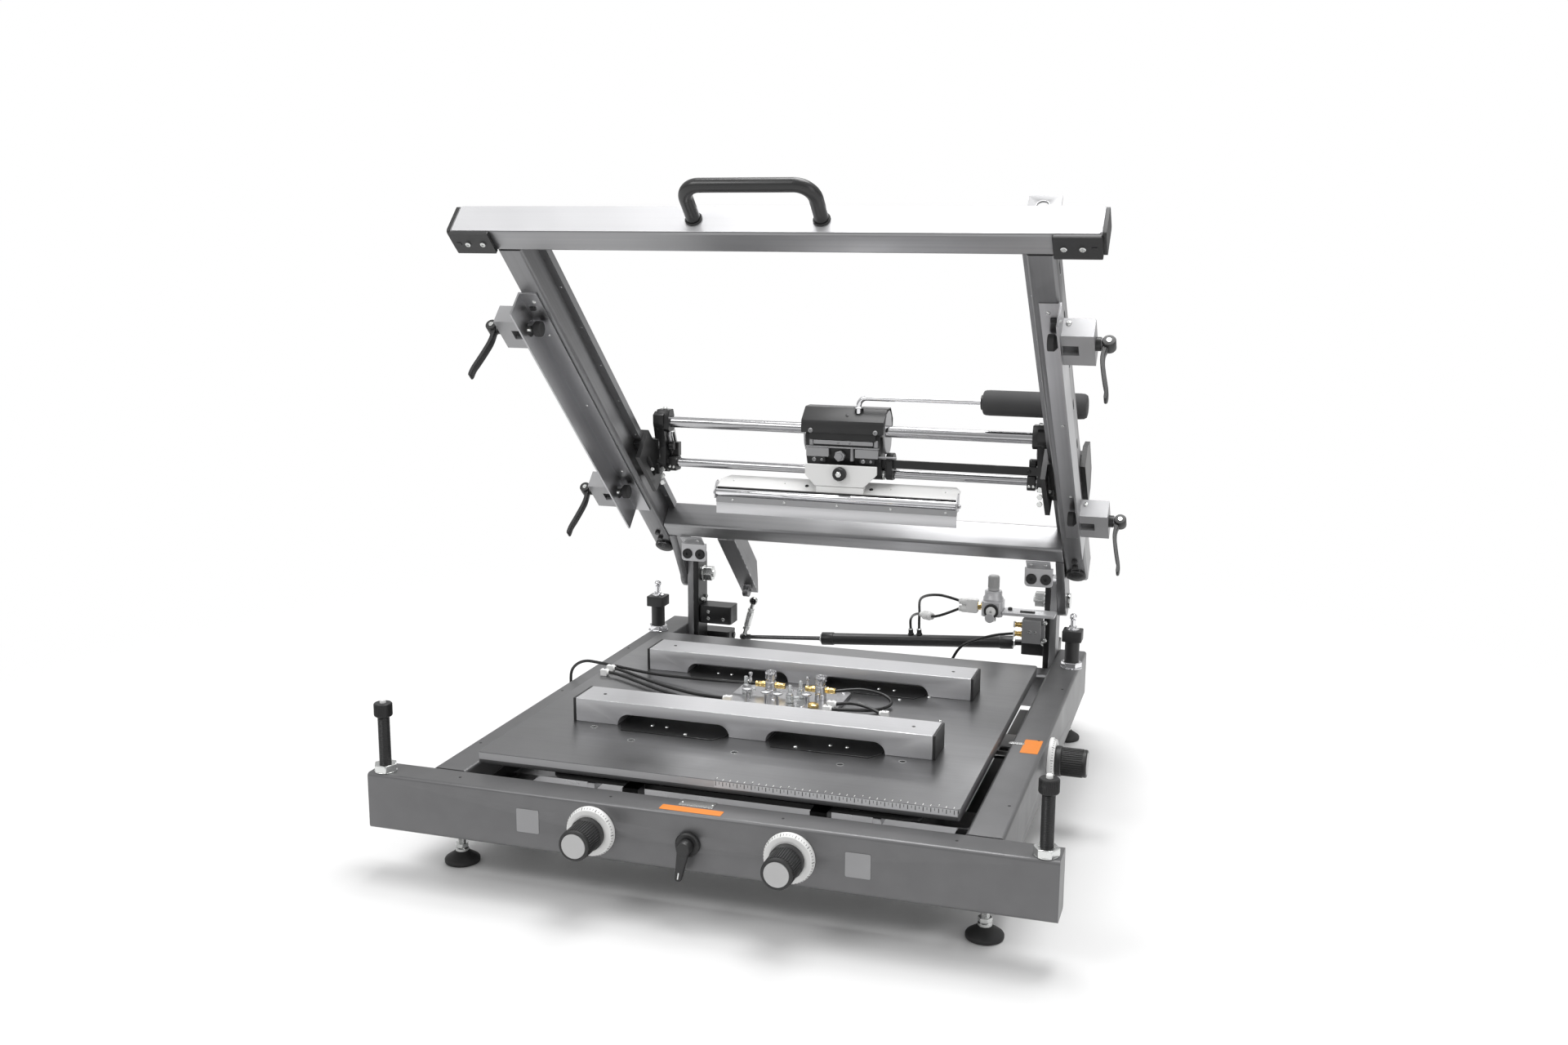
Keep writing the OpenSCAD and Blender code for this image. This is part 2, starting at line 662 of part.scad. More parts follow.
// Lid
module lid_beam() color("silver") in_lid()
  translate([-lid_w / 2 + cap_t, -lid_len + lid_d / 2, lid_drop + lid_h / 2]) along_x()
    tube(lid_d, lid_h, lid_w - 2 * cap_t, wall, edge_r);

module lid_caps() color("black") in_lid() both_sides() {
  translate([lid_w / 2 - cap_t, -lid_len + lid_d / 2, lid_drop + lid_h / 2]) along_x()
    linear_extrude(cap_t) section(lid_d, lid_h, edge_r);
  translate([lid_w / 2 - cap_t - stop_l, -lid_len, lid_drop - stop_t]) block([stop_l, lid_d, stop_t],
    stop_t / 3);
}

arm_slots = 7;
arm_pitch = 100;
arm_slot_l = 26;
arm_slot_h = 8;
module lid_arm() color("gray") in_lid() {
  difference() {
    translate([arms_w / 2 - arm_w / 2, -lid_len + lid_d, lid_drop + lid_h / 2]) along_y()
      tube(arm_w, lid_h, lid_len - lid_d - arm_tail, wall, edge_r);
    for (k = [0 : arm_slots - 1])
      translate([arms_w / 2 - 2 * wall, -lid_len + lid_d + (k + 0.5) * arm_pitch, lid_drop + lid_h / 2])
        along_x() linear_extrude(2 * wall + cut)
          section(arm_slot_l, arm_slot_h, arm_slot_h / 2 - run);
  }
  translate([arm_in_x - strip_size, -lid_len + lid_d, strip_z])
    cube([strip_size, lid_len - lid_d - cross_back - lid_d, strip_size]);
  translate([arms_w / 2 - arm_w / 2, -rear_post_in, lid_drop - bolt_t]) hex(nut_af, bolt_t);
}
bolt_t = 5;
module lid_arm_left() on_side(-1) lid_arm();
module lid_arm_right() on_side(1) lid_arm();

module lid_crossbar() color("gray") in_lid()
  translate([-arm_in_x, -cross_back - lid_d / 2, lid_drop + lid_h / 2]) along_x()
    tube(lid_d, lid_h, 2 * arm_in_x, wall, edge_r);

// Hinge lugs: an ear round each bolt, with a tail along the inside of the arm up to the cross-member
lug_t = arm_in_x - inner_x - lug_gap;
module hinge_lugs() color("gray") in_lid() both_sides() difference() {
  translate([inner_x + lug_gap, 0, 0]) along_x() linear_extrude(lug_t) {
    circle(lug_r, $fn = fine);
    polygon([[-cross_back, lid_drop], [-0.7 * lug_r, -0.714 * lug_r], [0.7 * lug_r, 0.714 * lug_r],
      [-arm_tail, lid_drop + 0.9 * lid_h], [-cross_back, lid_drop + 0.9 * lid_h]]);
  }
  translate([inner_x - cut, 0, 0]) along_x() disc(pin_dia + 2 * run, lug_t + 3 * cut);
}

// Lid handle: a bent round tube
module lid_handle() color("black") in_lid() translate([0, -lid_len, lid_drop + 0.46 * lid_h]) {
  r = 1.3 * handle_dia;
  both_sides() {
    translate([handle_w / 2, 0, 0]) rotate([90, 0, 0]) cylinder(h = handle_out - r,
      d = handle_dia, $fn = small);
    translate([handle_w / 2 - r, -handle_out + r, 0]) rotate([0, 0, -90])
      rotate_extrude(angle = 90, $fn = small)
      translate([r, 0]) circle(d = handle_dia, $fn = small);
  }
  translate([0, -handle_out, 0]) rod_x(handle_dia, handle_w - 2 * r);
}

// Stencil clamps
rail_front_u = lid_len - rail_in;
module clamp_rails() color("gray") in_lid() both_sides() difference() {
  union() {
    translate([arms_w / 2 - rail_lip, -rail_front_u, lid_drop - rail_t]) cube([rail_lip + rail_t,
      clamp_rail_l, rail_t]);
    translate([arms_w / 2, -rail_front_u, lid_drop - rail_drop]) cube([rail_t, clamp_rail_l, rail_drop]);
  }
  for (k = [0, 1]) translate([arms_w / 2 - cut, -clamp_u1 + k * clamp_pitch, clamp_w]) along_x()
    disc(pad_dia + 2 * gap, rail_t + 2 * cut);
}
module clamp_blocks() color("lightgray") in_lid() both_sides() for (k = [0, 1])
  translate([arms_w / 2 + rail_t, -clamp_u1 + k * clamp_pitch, 0]) {
    difference() {
      union() {
        translate([0, -block_l / 2, lid_drop - block_h]) cube([block_w, block_l, block_h]);
        translate([block_w, 0, clamp_w]) along_x() disc(2 * boss_r, boss_l);
      }
      translate([-cut, 0, clamp_w]) along_x() disc(pad_dia + 2 * gap, 0.56 * block_w + cut);
      translate([-cut, 0, clamp_w]) along_x() disc(pad_stem + 2 * run, block_w + boss_l - skin + cut);
      translate([gap, -0.42 * pad_dia, lid_drop - block_h - cut]) cube([block_w / 2, 0.84 * pad_dia,
        block_h / 2 + cut]);
    }
    translate([block_w + boss_l, 0, clamp_w]) {
      translate([0, -tongue_t / 2, -lever_pin]) cube([gap + lever_r, tongue_t, 2 * lever_pin]);
      translate([gap + lever_r, tongue_t / 2, 0]) rotate([90, 0, 0]) disc(2 * lever_pin, tongue_t);
      translate([gap + lever_r, lever_r - skin, 0]) rotate([90, 0, 0])
        disc(lever_pin, 2 * lever_r - 2 * skin);
    }
  }
module at_clamp(s, k) {
  on_side(s) in_lid() translate([arms_w / 2 + rail_t, -clamp_u1 + k * clamp_pitch, clamp_w]) children();
}
module pad(s, k) color("black") at_clamp(s, k) {
  translate([-rail_t - pad_h - gap, 0, 0]) along_x() disc(pad_dia, pad_h + rail_t);
  translate([-rail_t - gap, 0, 0]) along_x() disc(pad_stem, rail_t + block_w + boss_l - skin - pad_travel);
}
module lever(s, k) color("black") at_clamp(s, k) translate([block_w + boss_l + gap + lever_r, 0, 0])
  difference() {
  union() {
    rotate([90, 0, 0]) cylinder(r = lever_r, h = 2 * lever_r, center = true, $fn = fine);
    rotate([90, 0, 0]) linear_extrude(2 * lever_t, center = true) lever_outline();
  }
  rotate([90, 0, 0]) cylinder(d = lever_pin + 2 * run, h = 2 * lever_r - 2 * skin + 2 * gap,
    center = true, $fn = fine);
  translate([-2 * lever_r, -tongue_t / 2 - gap, -lever_pin - gap])
    cube([2 * lever_r + lever_pin + gap, tongue_t + 2 * gap, 3 * lever_r]);
}
lever_shares = [[-0.7, 0.05], [0.62, 0.05], [0.5, -0.25], [0.66, -0.5], [0.95, -0.8], [0.9, -1], [0.5, -1],
  [0.3, -0.8], [0, -0.5], [-0.3, -0.25]];
module lever_outline() polygon([for (p = lever_shares) [p[0] * lever_r, p[1] * lever_l]]);
module pad_fl() pad(-1, 0);
module pad_fr() pad(1, 0);
module pad_rl() pad(-1, 1);
module pad_rr() pad(1, 1);
module lever_fl() lever(-1, 0);
module lever_fr() lever(1, 0);
module lever_rl() lever(-1, 1);
module lever_rr() lever(1, 1);

// Buffer plates under the cross-member
module buffers() color("lightgray") in_lid() both_sides()
  translate([buffer_x - buffer_w / 2, -cross_back - lid_d / 2, lid_drop - buffer_t]) {
    block([buffer_w, buffer_l, buffer_t], buffer_t);
    for (x = [0.25, 0.75]) translate([x * buffer_w, 0.75 * buffer_l, -2 * buffer_t])
      disc(2 * buffer_r, 2 * buffer_t);
  }

// The channel that hangs from the cross-member past the hinge, with an eye for the cylinder's link
lift_x = -253;
lift_w = 34;
lift_h = 42;
lift_tail = 74;
eye_r = 10;
eye_t = 12;
module lift_arm() color("lightgray") in_lid() translate([lift_x, 0, lid_drop]) {
  difference() {
    translate([-lift_w / 2, 0, 0]) along_x() linear_extrude(lift_w) polygon([[-cross_back, 0],
      [-cross_back, lift_h],
      [0.3 * lift_tail, lift_h], [0.72 * lift_tail, 0.45 * lift_h], [lift_tail, 0]]);
    translate([-lift_w / 2 + wall, -cross_back - cut, wall])
      cube([lift_w - 2 * wall, cross_back + lift_tail + 2 * cut, lift_h]);
  }
  translate([-eye_t / 2, lift_tail - 2 * eye_r, -eye_r]) along_x() linear_extrude(eye_t) {
    circle(eye_r, $fn = fine);
    translate([-eye_r, 0]) square([2 * eye_r, eye_r]);
  }
}

// A catch plate over the lid's right corner
catch_w = 45;
catch_h = 62;
module lid_catch() color("white") in_lid()
  translate([arms_w / 2 - catch_w - wall, -lid_len + lid_d + wall, lid_drop + lid_h]) {
  block([catch_w, catch_w, wall], wall / 2);
  rotate([90, 0, 0]) translate([0, 0, -wall]) difference() {
    block([catch_w, catch_h, wall], wall);
    translate([0.45 * catch_w, 0.68 * catch_h, -cut]) disc(0.36 * catch_w, wall + 2 * cut);
  }
}

// Cylinder behind the table, its rod with the link up to the lid's channel, and the lugs that carry it
module at_strut() {
  on_base() translate([strut_x, base_len + strut_back, strut_z]) rotate([0, -90 - strut_slope, 0]) children();
}
port_at = 0.48 * cylinder_l;
port_gap = 16;
port_h = 22;
module strut_cylinder() color("black") at_strut() {
  difference() {
    union() {
      disc(cylinder_dia, cylinder_l);
      for (z = [0, 0.94 * cylinder_l]) translate([0, 0, z]) disc(1.12 * cylinder_dia, 0.06 * cylinder_l);
    }
    translate([0, 0, cylinder_l / 2]) disc(cylinder_rod + 2 * run, cylinder_l);
  }
  translate([0, 0, -strut_tail]) disc(cylinder_dia / 2, strut_tail);
  for (k = [0, 1]) translate([0, 0, port_at + k * port_gap]) rotate([0, 90, 0]) disc(brass_dia, port_h);
}
link_l = 76;
link_lean = 15;
module strut_rod() color("silver") at_strut() {
  translate([0, 0, 0.7 * cylinder_l]) disc(cylinder_rod, 0.3 * cylinder_l + strut_rod_l);
  translate([0, 0, cylinder_l + strut_rod_l]) {
    sphere(d = 2 * cylinder_rod, $fn = small);
    rotate([0, 90 + link_lean + strut_slope, 0]) {
      disc(1.2 * cylinder_rod, link_l);
      translate([0, 0, link_l]) sphere(d = 2 * cylinder_rod, $fn = small);
    }
  }
}
lug_left_x = -284;
left_block = [64, 42, 34];
module strut_mounts() color("black") {
  difference() {
    on_base() translate([strut_x + strut_tail - skin, base_len, strut_z - strut_r])
      block([inner_x - strut_x - strut_tail + skin, strut_back + strut_r, 2 * strut_r], edge_r);
    at_strut() translate([0, 0, -strut_tail]) disc(cylinder_dia / 2 + 2 * run, strut_tail);
  }
  on_base() {
    translate([-inner_x, base_len, strut_z - 3.2 * strut_r])
      block([inner_x + lug_left_x, strut_back + strut_r, 1.6 * strut_r], edge_r);
    translate([lug_left_x - edge_r, base_len + strut_back, strut_z - 2.4 * strut_r])
      along_x() hex(cylinder_dia / 2, edge_r + wall);
    translate([-inner_x + column_t, column_y + wall, wall]) block(left_block, edge_r);
  }
}

// Air preparation on the right column
shelf_t = 6;
shelf_z = 76;
shelf_x = 258;
reg_w = 37;
reg_h = 45;
reg_z = 71;
wye_x = shelf_x - 2.1 * reg_w;
wye_y = column_y - 0.45 * reg_w;
module regulator() color("silver") on_base() {
  translate([shelf_x, column_y - reg_w, shelf_z]) block([inner_x - shelf_x, reg_w, shelf_t], shelf_t / 4);
  translate([shelf_x - reg_w, column_y - reg_w, reg_z]) block([reg_w, reg_w, reg_h], reg_w / 8);
  translate([shelf_x - reg_w / 2, column_y - reg_w, reg_z + reg_h / 4]) rotate([90, 0, 0])
    disc(0.7 * reg_w, shelf_t);
  translate([wye_x, wye_y - reg_w / 4, reg_z]) block([0.9 * reg_w, reg_w / 2, 0.6 * reg_h], reg_w / 10);
  translate([wye_x + 0.9 * reg_w, wye_y, reg_z + 0.3 * reg_h]) along_x() disc(0.2 * reg_w, 0.2 * reg_w);
}
module regulator_knob() color("gray") on_base() translate([shelf_x - reg_w / 2, column_y - reg_w / 2,
  reg_z + reg_h + gap])
  linear_extrude(0.6 * reg_h) knurl(0.55 * reg_w, 18);
valve_w = 34;
valve_h = 42;
valve_x = inner_x - column_t - valve_w;
valve_y = column_y - valve_w;
valve_z = shelf_z - valve_h - shelf_t;
module valve_block() color("lightgray") on_base() translate([valve_x, valve_y, valve_z]) {
  block([valve_w, 0.9 * valve_w, valve_h], edge_r / 2);
  translate([valve_w / 2, 0.8 * valve_w, 0]) cube([valve_w / 2 + column_t / 2, 0.2 * valve_w, valve_h / 2]);
  for (z = [0.3, 0.7]) translate([-brass_l, 0.4 * valve_w, z * valve_h]) along_x() disc(brass_dia,
    brass_l + edge_r);
}
// Where the two hoses meet the cylinder's ports, and their routes from the regulator and the valve
function port_end(k) = [strut_x - (port_at + k * port_gap) * cos(strut_slope) - port_h * sin(strut_slope),
  base_len + strut_back, strut_z - (port_at + k * port_gap) * sin(strut_slope) + port_h * cos(strut_slope)];
upper_route = [[wye_x, wye_y, reg_z + 0.45 * reg_h], [140, 884, 98], [98, 930, 78],
  port_end(0) + [0, 0, 6 * hose_dia], port_end(0)];
lower_route = [[wye_x, wye_y, reg_z + 0.15 * reg_h], [135, 884, 58], [92, 930, 48],
  port_end(1) + [0, 0, 4 * hose_dia], port_end(1)];
valve_route = [[valve_x - brass_l, valve_y + 0.4 * valve_w, valve_z + 0.3 * valve_h], [240, 872, 34],
  [190, 866, 14],
  [168, 864, -rear_drop]];
module air_hoses() color("black") on_base() {
  hose(upper_route, hose_dia, 2, 8);
  hose(lower_route, hose_dia, 2, 8);
  hose(valve_route, hose_dia, 2, 8);
}

// Carriage: shoes that wrap the guide strips, end brackets for the rods, and a flat bar
slider_back = 78;
skirt_rise = 34;
module slider(s) color("black") on_side(s) {
  in_lid() translate([0, -rod_u + slider_back - slider_l, 0]) {
    top = lid_drop + lid_h + gap;
    outer = arms_w / 2 + gap;
    difference() {
      translate([slider_in, 0, lid_drop]) cube([slider_t, slider_l, lid_h + gap + slider_t]);
      translate([slider_in - cut, slider_l / 2, lid_drop + 0.4 * lid_h]) along_x()
        linear_extrude(slider_t + 2 * cut) section(0.5 * slider_l, 0.3 * lid_h, 0.15 * lid_h - run);
    }
    translate([slider_in, 0, top]) cube([outer + slider_t - slider_in, slider_l, slider_t]);
    translate([slider_in, 0, strip_z - gap - slider_t]) cube([slider_t + strip_size - gap, slider_l,
      slider_t]);
    translate([outer, 0, lid_drop + 0.55 * lid_h]) along_x() linear_extrude(slider_t)
      polygon([[0, 0], [slider_l, 0], [slider_l, 0.45 * lid_h + slider_t],
        [0.8 * slider_l, 0.45 * lid_h + skirt_rise],
        [0.2 * slider_l, 0.45 * lid_h + skirt_rise + slider_t], [0, 0.45 * lid_h + skirt_rise / 2]]);
  }
  in_head() translate([slider_in - bracket_t, 0, 0]) along_x() linear_extrude(bracket_t + wall) difference() {
    bracket_outline();
    circle(d = rod_dia, $fn = fine);
    translate([low_back, -rod_gap]) circle(d = low_rod_dia, $fn = fine);
    hull() {
      translate([0.6 * rod_dia, -0.34 * rod_gap]) circle(0.3 * rod_dia, $fn = 32);
      translate([0.9 * rod_dia, -0.66 * rod_gap]) circle(0.3 * rod_dia, $fn = 32);
    }
  }
}
module bracket_outline() {
  r = 0.9 * rod_dia;
  circle(r, $fn = fine);
  translate([low_back, -rod_gap]) circle(r, $fn = fine);
  polygon([[-r, 0], [-r, 0.7 * r], [-0.5 * r, r], [0.6 * r, r], [2 * r, -0.2 * rod_gap],
    [2.6 * r, -0.72 * rod_gap],
    [low_back + 0.7 * r, -rod_gap - 0.7 * r], [low_back - r, -rod_gap], [-0.3 * r, -0.6 * rod_gap]]);
}
module slider_left() slider(-1);
module slider_right() slider(1);
module rods() color("lightgray") in_head() {
  rod_x(rod_dia, 2 * slider_in);
  translate([0, low_back, -rod_gap]) rod_x(low_rod_dia, 2 * slider_in);
}
bar_x = 20;
bar_t = 6;
bar_low = 62;
bar_deep = 14;
module guide_bar() color("dimgray") in_head()
  translate([bar_x, -bar_t / 2, -bar_low]) cube([slider_in - bracket_t - bar_x, bar_t, bar_deep]);

// Head: a bearing block on both rods, under a bent cover
module head_cover() color("black") in_head() {
  translate([-head_w / 2, 0, 0]) along_x() difference() {
    linear_extrude(head_w) cover_outline(0);
    translate([0, 0, cover_t]) linear_extrude(head_w - 2 * cover_t) {
      cover_outline(cover_t);
      translate([-2 * cover_front, -cover_top]) square([4 * cover_front, cover_top - cover_drop - cover_t]);
    }
    translate([0, 0, -cut]) linear_extrude(head_w + 2 * cut) circle(d = rod_dia + 4 * cover_t, $fn = fine);
    translate([-rod_dia / 2 - 2 * cover_t, -cover_top, -cut])
      cube([rod_dia + 4 * cover_t, cover_top, head_w + 2 * cut]);
  }
}
module cover_outline(t) polygon([[-cover_front + t, -cover_drop - (t > 0 ? cut : 0)],
  [-cover_front + t, 0.45 * cover_top - t / 2],
  [-t / 2, cover_top - t], [0.6 * cover_back - t / 2, cover_top - t], [cover_back - t, 0.45 * cover_top],
  [cover_back - t, -cover_drop - (t > 0 ? cut : 0)]]);
module head_body() color("silver") in_head() {
  inner_w = head_w - 2 * cover_t;
  difference() {
    union() {
      translate([-inner_w / 2, 0, 0]) along_x() linear_extrude(inner_w) {
        circle(0.85 * rod_dia, $fn = fine);
        translate([-0.5 * rod_dia, jaw_z]) square([cover_back - cover_t + 0.5 * rod_dia, -jaw_z]);
      }
      translate([-inner_w / 2, 0, 0]) along_x() linear_extrude(inner_w) {
        translate([low_back, -rod_gap]) circle(0.75 * low_rod_dia, $fn = fine);
        translate([-0.5 * rod_dia, -rod_gap]) square([rod_dia + low_back, rod_gap + jaw_z]);
      }
      for (x = [-inner_w / 2, core_w / 2]) translate([x, -cover_front + skin, jaw_z])
        block([inner_w / 2 - core_w / 2, cover_front, jaw_t], skin);
      translate([0, 0, -pivot_drop]) rotate([90, 0, 0]) disc(0.8 * rod_dia, cover_front);
      translate([0, 0, -pivot_drop]) rotate([90, 0, 0]) disc(pivot_rod, -holder_y);
    }
    translate([0, holder_y + knob_stub + gap, -pivot_drop]) rotate([90, 0, 0])
      disc(pivot_rod / 2 + 2 * run, knob_stub + cut);
    rod_x(rod_dia + 2 * run, 2 * head_w);
    translate([0, low_back, -rod_gap]) rod_x(low_rod_dia + 2 * run, 2 * head_w);
    translate([-head_w, -bar_t / 2 - gap, -bar_low - gap]) cube([2 * head_w, bar_t + 2 * gap,
      bar_deep + 2 * gap]);
  }
}
pivot_rod = 10;
knob_stub = 14;
grip_x = head_w / 6;
grip_bend = 14;
grip_y = -6;
module head_handle() color("silver") in_head() translate([grip_x, grip_y, 0]) {
  translate([0, 0, 0.8 * rod_dia]) cylinder(h = grip_rise - grip_bend - 0.8 * rod_dia,
    d = grip_rod, $fn = small);
  translate([grip_bend, 0, grip_rise - grip_bend]) rotate([90, 0, 0]) rotate(90)
    rotate_extrude(angle = 90, $fn = small)
    translate([grip_bend, 0]) circle(d = grip_rod, $fn = small);
  translate([grip_bend, 0, grip_rise]) along_x() disc(grip_rod, grip_mid - grip_x - grip_bend);
}
module head_grip() color("black") in_head() translate([grip_mid - grip_l / 2, grip_y, grip_rise])
  along_x() difference() {
  rotate_extrude($fn = fine) polygon([[0, 0], [0.46 * grip_dia, 0], [grip_dia / 2, 0.04 * grip_dia],
    [grip_dia / 2, grip_l - 0.04 * grip_dia], [0.46 * grip_dia, grip_l], [0, grip_l]]);
  translate([0, 0, -cut]) disc(grip_rod, grip_l / 2 + cut);
}

// Squeegee: the pivoting plate with its foot, the knob, the bent holder and the blade
squeegee_off = -11;
sheet_t = 2.5;
sheet_rise = 16;
sheet_deep = 38;
holder_t = 12;
holder_h = 16;
strip_h = 10;
strip_t = 5;
mount_foot_h = 12;
plate_top = -57;
plate_low = plate_top - plate_h;
front_y = -cover_front - gap;
holder_y = front_y - plate_t;
holder_z = plate_low - mount_foot_h;
foot_in = front_y + 2 * plate_t;
module squeegee_mount() color("white") in_head() difference() {
  union() {
    translate([0, front_y, 0]) rotate([90, 0, 0]) linear_extrude(plate_t) plate_outline();
    translate([-0.34 * plate_w, 0, 0]) along_x() linear_extrude(0.66 * plate_w)
      polygon([[holder_y, plate_low], [front_y, plate_low], [front_y, plate_low + sheet_t], [foot_in,
        plate_low + sheet_t],
        [foot_in, sheet_z(foot_in)], [holder_y, sheet_z(holder_y)]]);
  }
  translate([0, cut, -pivot_drop]) rotate([90, 0, 0]) disc(pivot_rod + 2 * run, 2 * cover_front);
}
function sheet_z(y) = holder_z + sheet_rise * (y - holder_y) / sheet_deep;
plate_shares = [[-0.5, 0], [0.5, 0], [0.5, -0.38], [0.32, -1], [-0.36, -1], [-0.5, -0.5]];
module plate_outline() polygon([for (p = plate_shares) [p[0] * plate_w, plate_top + p[1] * plate_h]]);
module squeegee_knob() color("black") in_head() translate([0, holder_y - gap, -pivot_drop])
  rotate([90, 0, 0]) {
  tilt_stub();
  tilt_grip();
}
module tilt_grip() difference() {
  linear_extrude(tilt_knob_t) knurl(tilt_knob_dia, 24);
  translate([0, 0, 0.8 * tilt_knob_t]) disc(0.5 * tilt_knob_dia, tilt_knob_t);
}
module tilt_stub() {
  translate([0, 0, 0.7 * tilt_knob_t]) disc(0.3 * tilt_knob_dia, 0.3 * tilt_knob_t);
  translate([0, 0, -knob_stub]) disc(pivot_rod / 2, knob_stub + 0.8 * tilt_knob_t);
}
tilt_knob_dia = 24;
tilt_knob_t = 12;
module squeegee_holder() color("whitesmoke") in_head() translate([squeegee_off - squeegee_l / 2, 0, 0]) {
  along_x() linear_extrude(squeegee_l) {
    polygon([[holder_y, holder_z], [holder_y + sheet_deep, holder_z + sheet_rise],
      [holder_y + sheet_deep, holder_z + sheet_rise - sheet_t], [holder_y, holder_z - sheet_t]]);
    translate([holder_y - holder_t / 2, holder_z - holder_h]) square([holder_t, holder_h]);
  }
}
module squeegee_blade() color("silver") in_head() translate([squeegee_off - squeegee_l / 2, 0, 0]) {
  low = holder_z - holder_h;
  translate([0, holder_y - strip_t / 2, low - strip_h]) cube([squeegee_l, strip_t, strip_h]);
  translate([0, holder_y - sheet_t / 2, -tilt_drop - blade_drop]) cube([squeegee_l, sheet_t,
    tilt_drop + blade_drop + low - strip_h]);
}

front_beam();
side_rails();
cross_members();
columns();
front_posts();
rear_posts();
hinge_pins();
regulator();
regulator_knob();
valve_block();
strut_cylinder();
strut_mounts();
feet();
dials();
lock_rosette();
lock_lever();
knob_y_left();
knob_y_right();
color("black") at_side() knob_x_body();  // knob_x
y_stage();
x_stage();
table_plate();
support_bars();
bar_caps();
manifold();
table_hoses();
air_hoses();
lid_beam();
lid_caps();
lid_arm_left();
lid_arm_right();
lid_crossbar();
hinge_lugs();
lid_handle();
clamp_rails();
clamp_blocks();
buffers();
lift_arm();
lid_catch();
lever_fl();
lever_fr();
lever_rl();
lever_rr();
pad_fl();
pad_fr();
pad_rl();
pad_rr();
strut_rod();
slider_left();
slider_right();
rods();
guide_bar();
head_cover();
head_body();
head_handle();
head_grip();
squeegee_mount();
squeegee_knob();
squeegee_holder();
squeegee_blade();
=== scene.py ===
"""Looks of a lift-lid stencil printing press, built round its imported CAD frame."""
import json
import math

import bmesh
import bpy
from mathutils import Matrix, Vector
from mathutils.geometry import delaunay_2d_cdt

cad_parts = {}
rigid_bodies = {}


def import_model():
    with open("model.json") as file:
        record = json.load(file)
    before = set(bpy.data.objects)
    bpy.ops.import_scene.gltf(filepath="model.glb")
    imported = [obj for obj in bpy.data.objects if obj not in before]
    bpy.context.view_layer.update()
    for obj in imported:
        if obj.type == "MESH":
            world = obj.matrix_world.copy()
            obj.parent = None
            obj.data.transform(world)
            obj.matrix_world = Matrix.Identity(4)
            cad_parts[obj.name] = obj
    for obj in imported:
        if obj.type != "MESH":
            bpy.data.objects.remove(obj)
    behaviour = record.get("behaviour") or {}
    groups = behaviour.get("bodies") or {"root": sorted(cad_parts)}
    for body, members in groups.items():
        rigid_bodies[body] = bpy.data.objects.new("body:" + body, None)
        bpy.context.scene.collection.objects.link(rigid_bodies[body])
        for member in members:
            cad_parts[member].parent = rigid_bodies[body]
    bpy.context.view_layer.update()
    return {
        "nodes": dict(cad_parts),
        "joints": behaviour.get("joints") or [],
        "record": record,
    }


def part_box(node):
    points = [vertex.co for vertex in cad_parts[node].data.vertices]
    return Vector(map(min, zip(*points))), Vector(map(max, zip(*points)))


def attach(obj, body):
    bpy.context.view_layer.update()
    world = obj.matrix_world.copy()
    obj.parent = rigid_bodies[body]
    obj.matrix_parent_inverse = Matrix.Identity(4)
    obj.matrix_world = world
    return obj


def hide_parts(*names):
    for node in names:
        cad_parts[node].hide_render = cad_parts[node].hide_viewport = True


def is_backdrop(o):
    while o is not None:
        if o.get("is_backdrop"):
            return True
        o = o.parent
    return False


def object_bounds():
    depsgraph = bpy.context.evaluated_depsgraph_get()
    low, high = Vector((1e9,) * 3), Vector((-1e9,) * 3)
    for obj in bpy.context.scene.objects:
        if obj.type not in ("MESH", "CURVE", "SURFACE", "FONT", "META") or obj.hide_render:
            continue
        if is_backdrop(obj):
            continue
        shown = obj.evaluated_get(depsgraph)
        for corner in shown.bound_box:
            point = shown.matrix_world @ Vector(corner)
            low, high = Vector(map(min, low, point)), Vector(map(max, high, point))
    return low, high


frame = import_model()
JOINTS = {j["name"]: j for j in frame["joints"]}

# -------------------- places, in millimetres of each local frame
MM = 0.001
HERE = Matrix.Identity(4)


def turn(degrees, axis):
    return Matrix.Rotation(math.radians(degrees), 4, axis)


def move(x=0.0, y=0.0, z=0.0):
    return Matrix.Translation((x, y, z))


def joint_at(name):
    return Matrix.Translation(JOINTS[name]["pos_m"])


beam_low, beam_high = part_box("front_beam")
table_low, table_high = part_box("table_plate")
lid_axis = JOINTS["carriage_slide"]["axis"]
LID_OPEN = math.degrees(math.atan2(lid_axis[2], -lid_axis[1]))
SCALE = Matrix.Scale(MM, 4)
BASE = Matrix.Translation((0, beam_low.y, beam_high.z)) @ SCALE
TABLE = Matrix.Translation((0, table_low.y, table_high.z)) @ SCALE
LID = joint_at("lid_hinge") @ turn(-LID_OPEN, "X") @ SCALE
HEAD = joint_at("carriage_slide") @ SCALE
ALONG_LID = Vector(lid_axis)
BEAM_D = 50.0
BEAM_H = 80.0
RAIL_OUT = 400.0
RAIL_IN = RAIL_OUT - BEAM_D
TABLE_W = (table_high.x - table_low.x) / MM
TABLE_L = (table_high.y - table_low.y) / MM


# -------------------- shader groups
def make(tree, kind, inputs=None, **settings):
    """A node with its settings; an input is a value or another node's socket."""
    node = tree.nodes.new(kind)
    for key, value in settings.items():
        setattr(node, key, value)
    for key, value in (inputs or {}).items():
        if isinstance(value, bpy.types.NodeSocket):
            tree.links.new(value, node.inputs[key])
        else:
            node.inputs[key].default_value = value
    return node


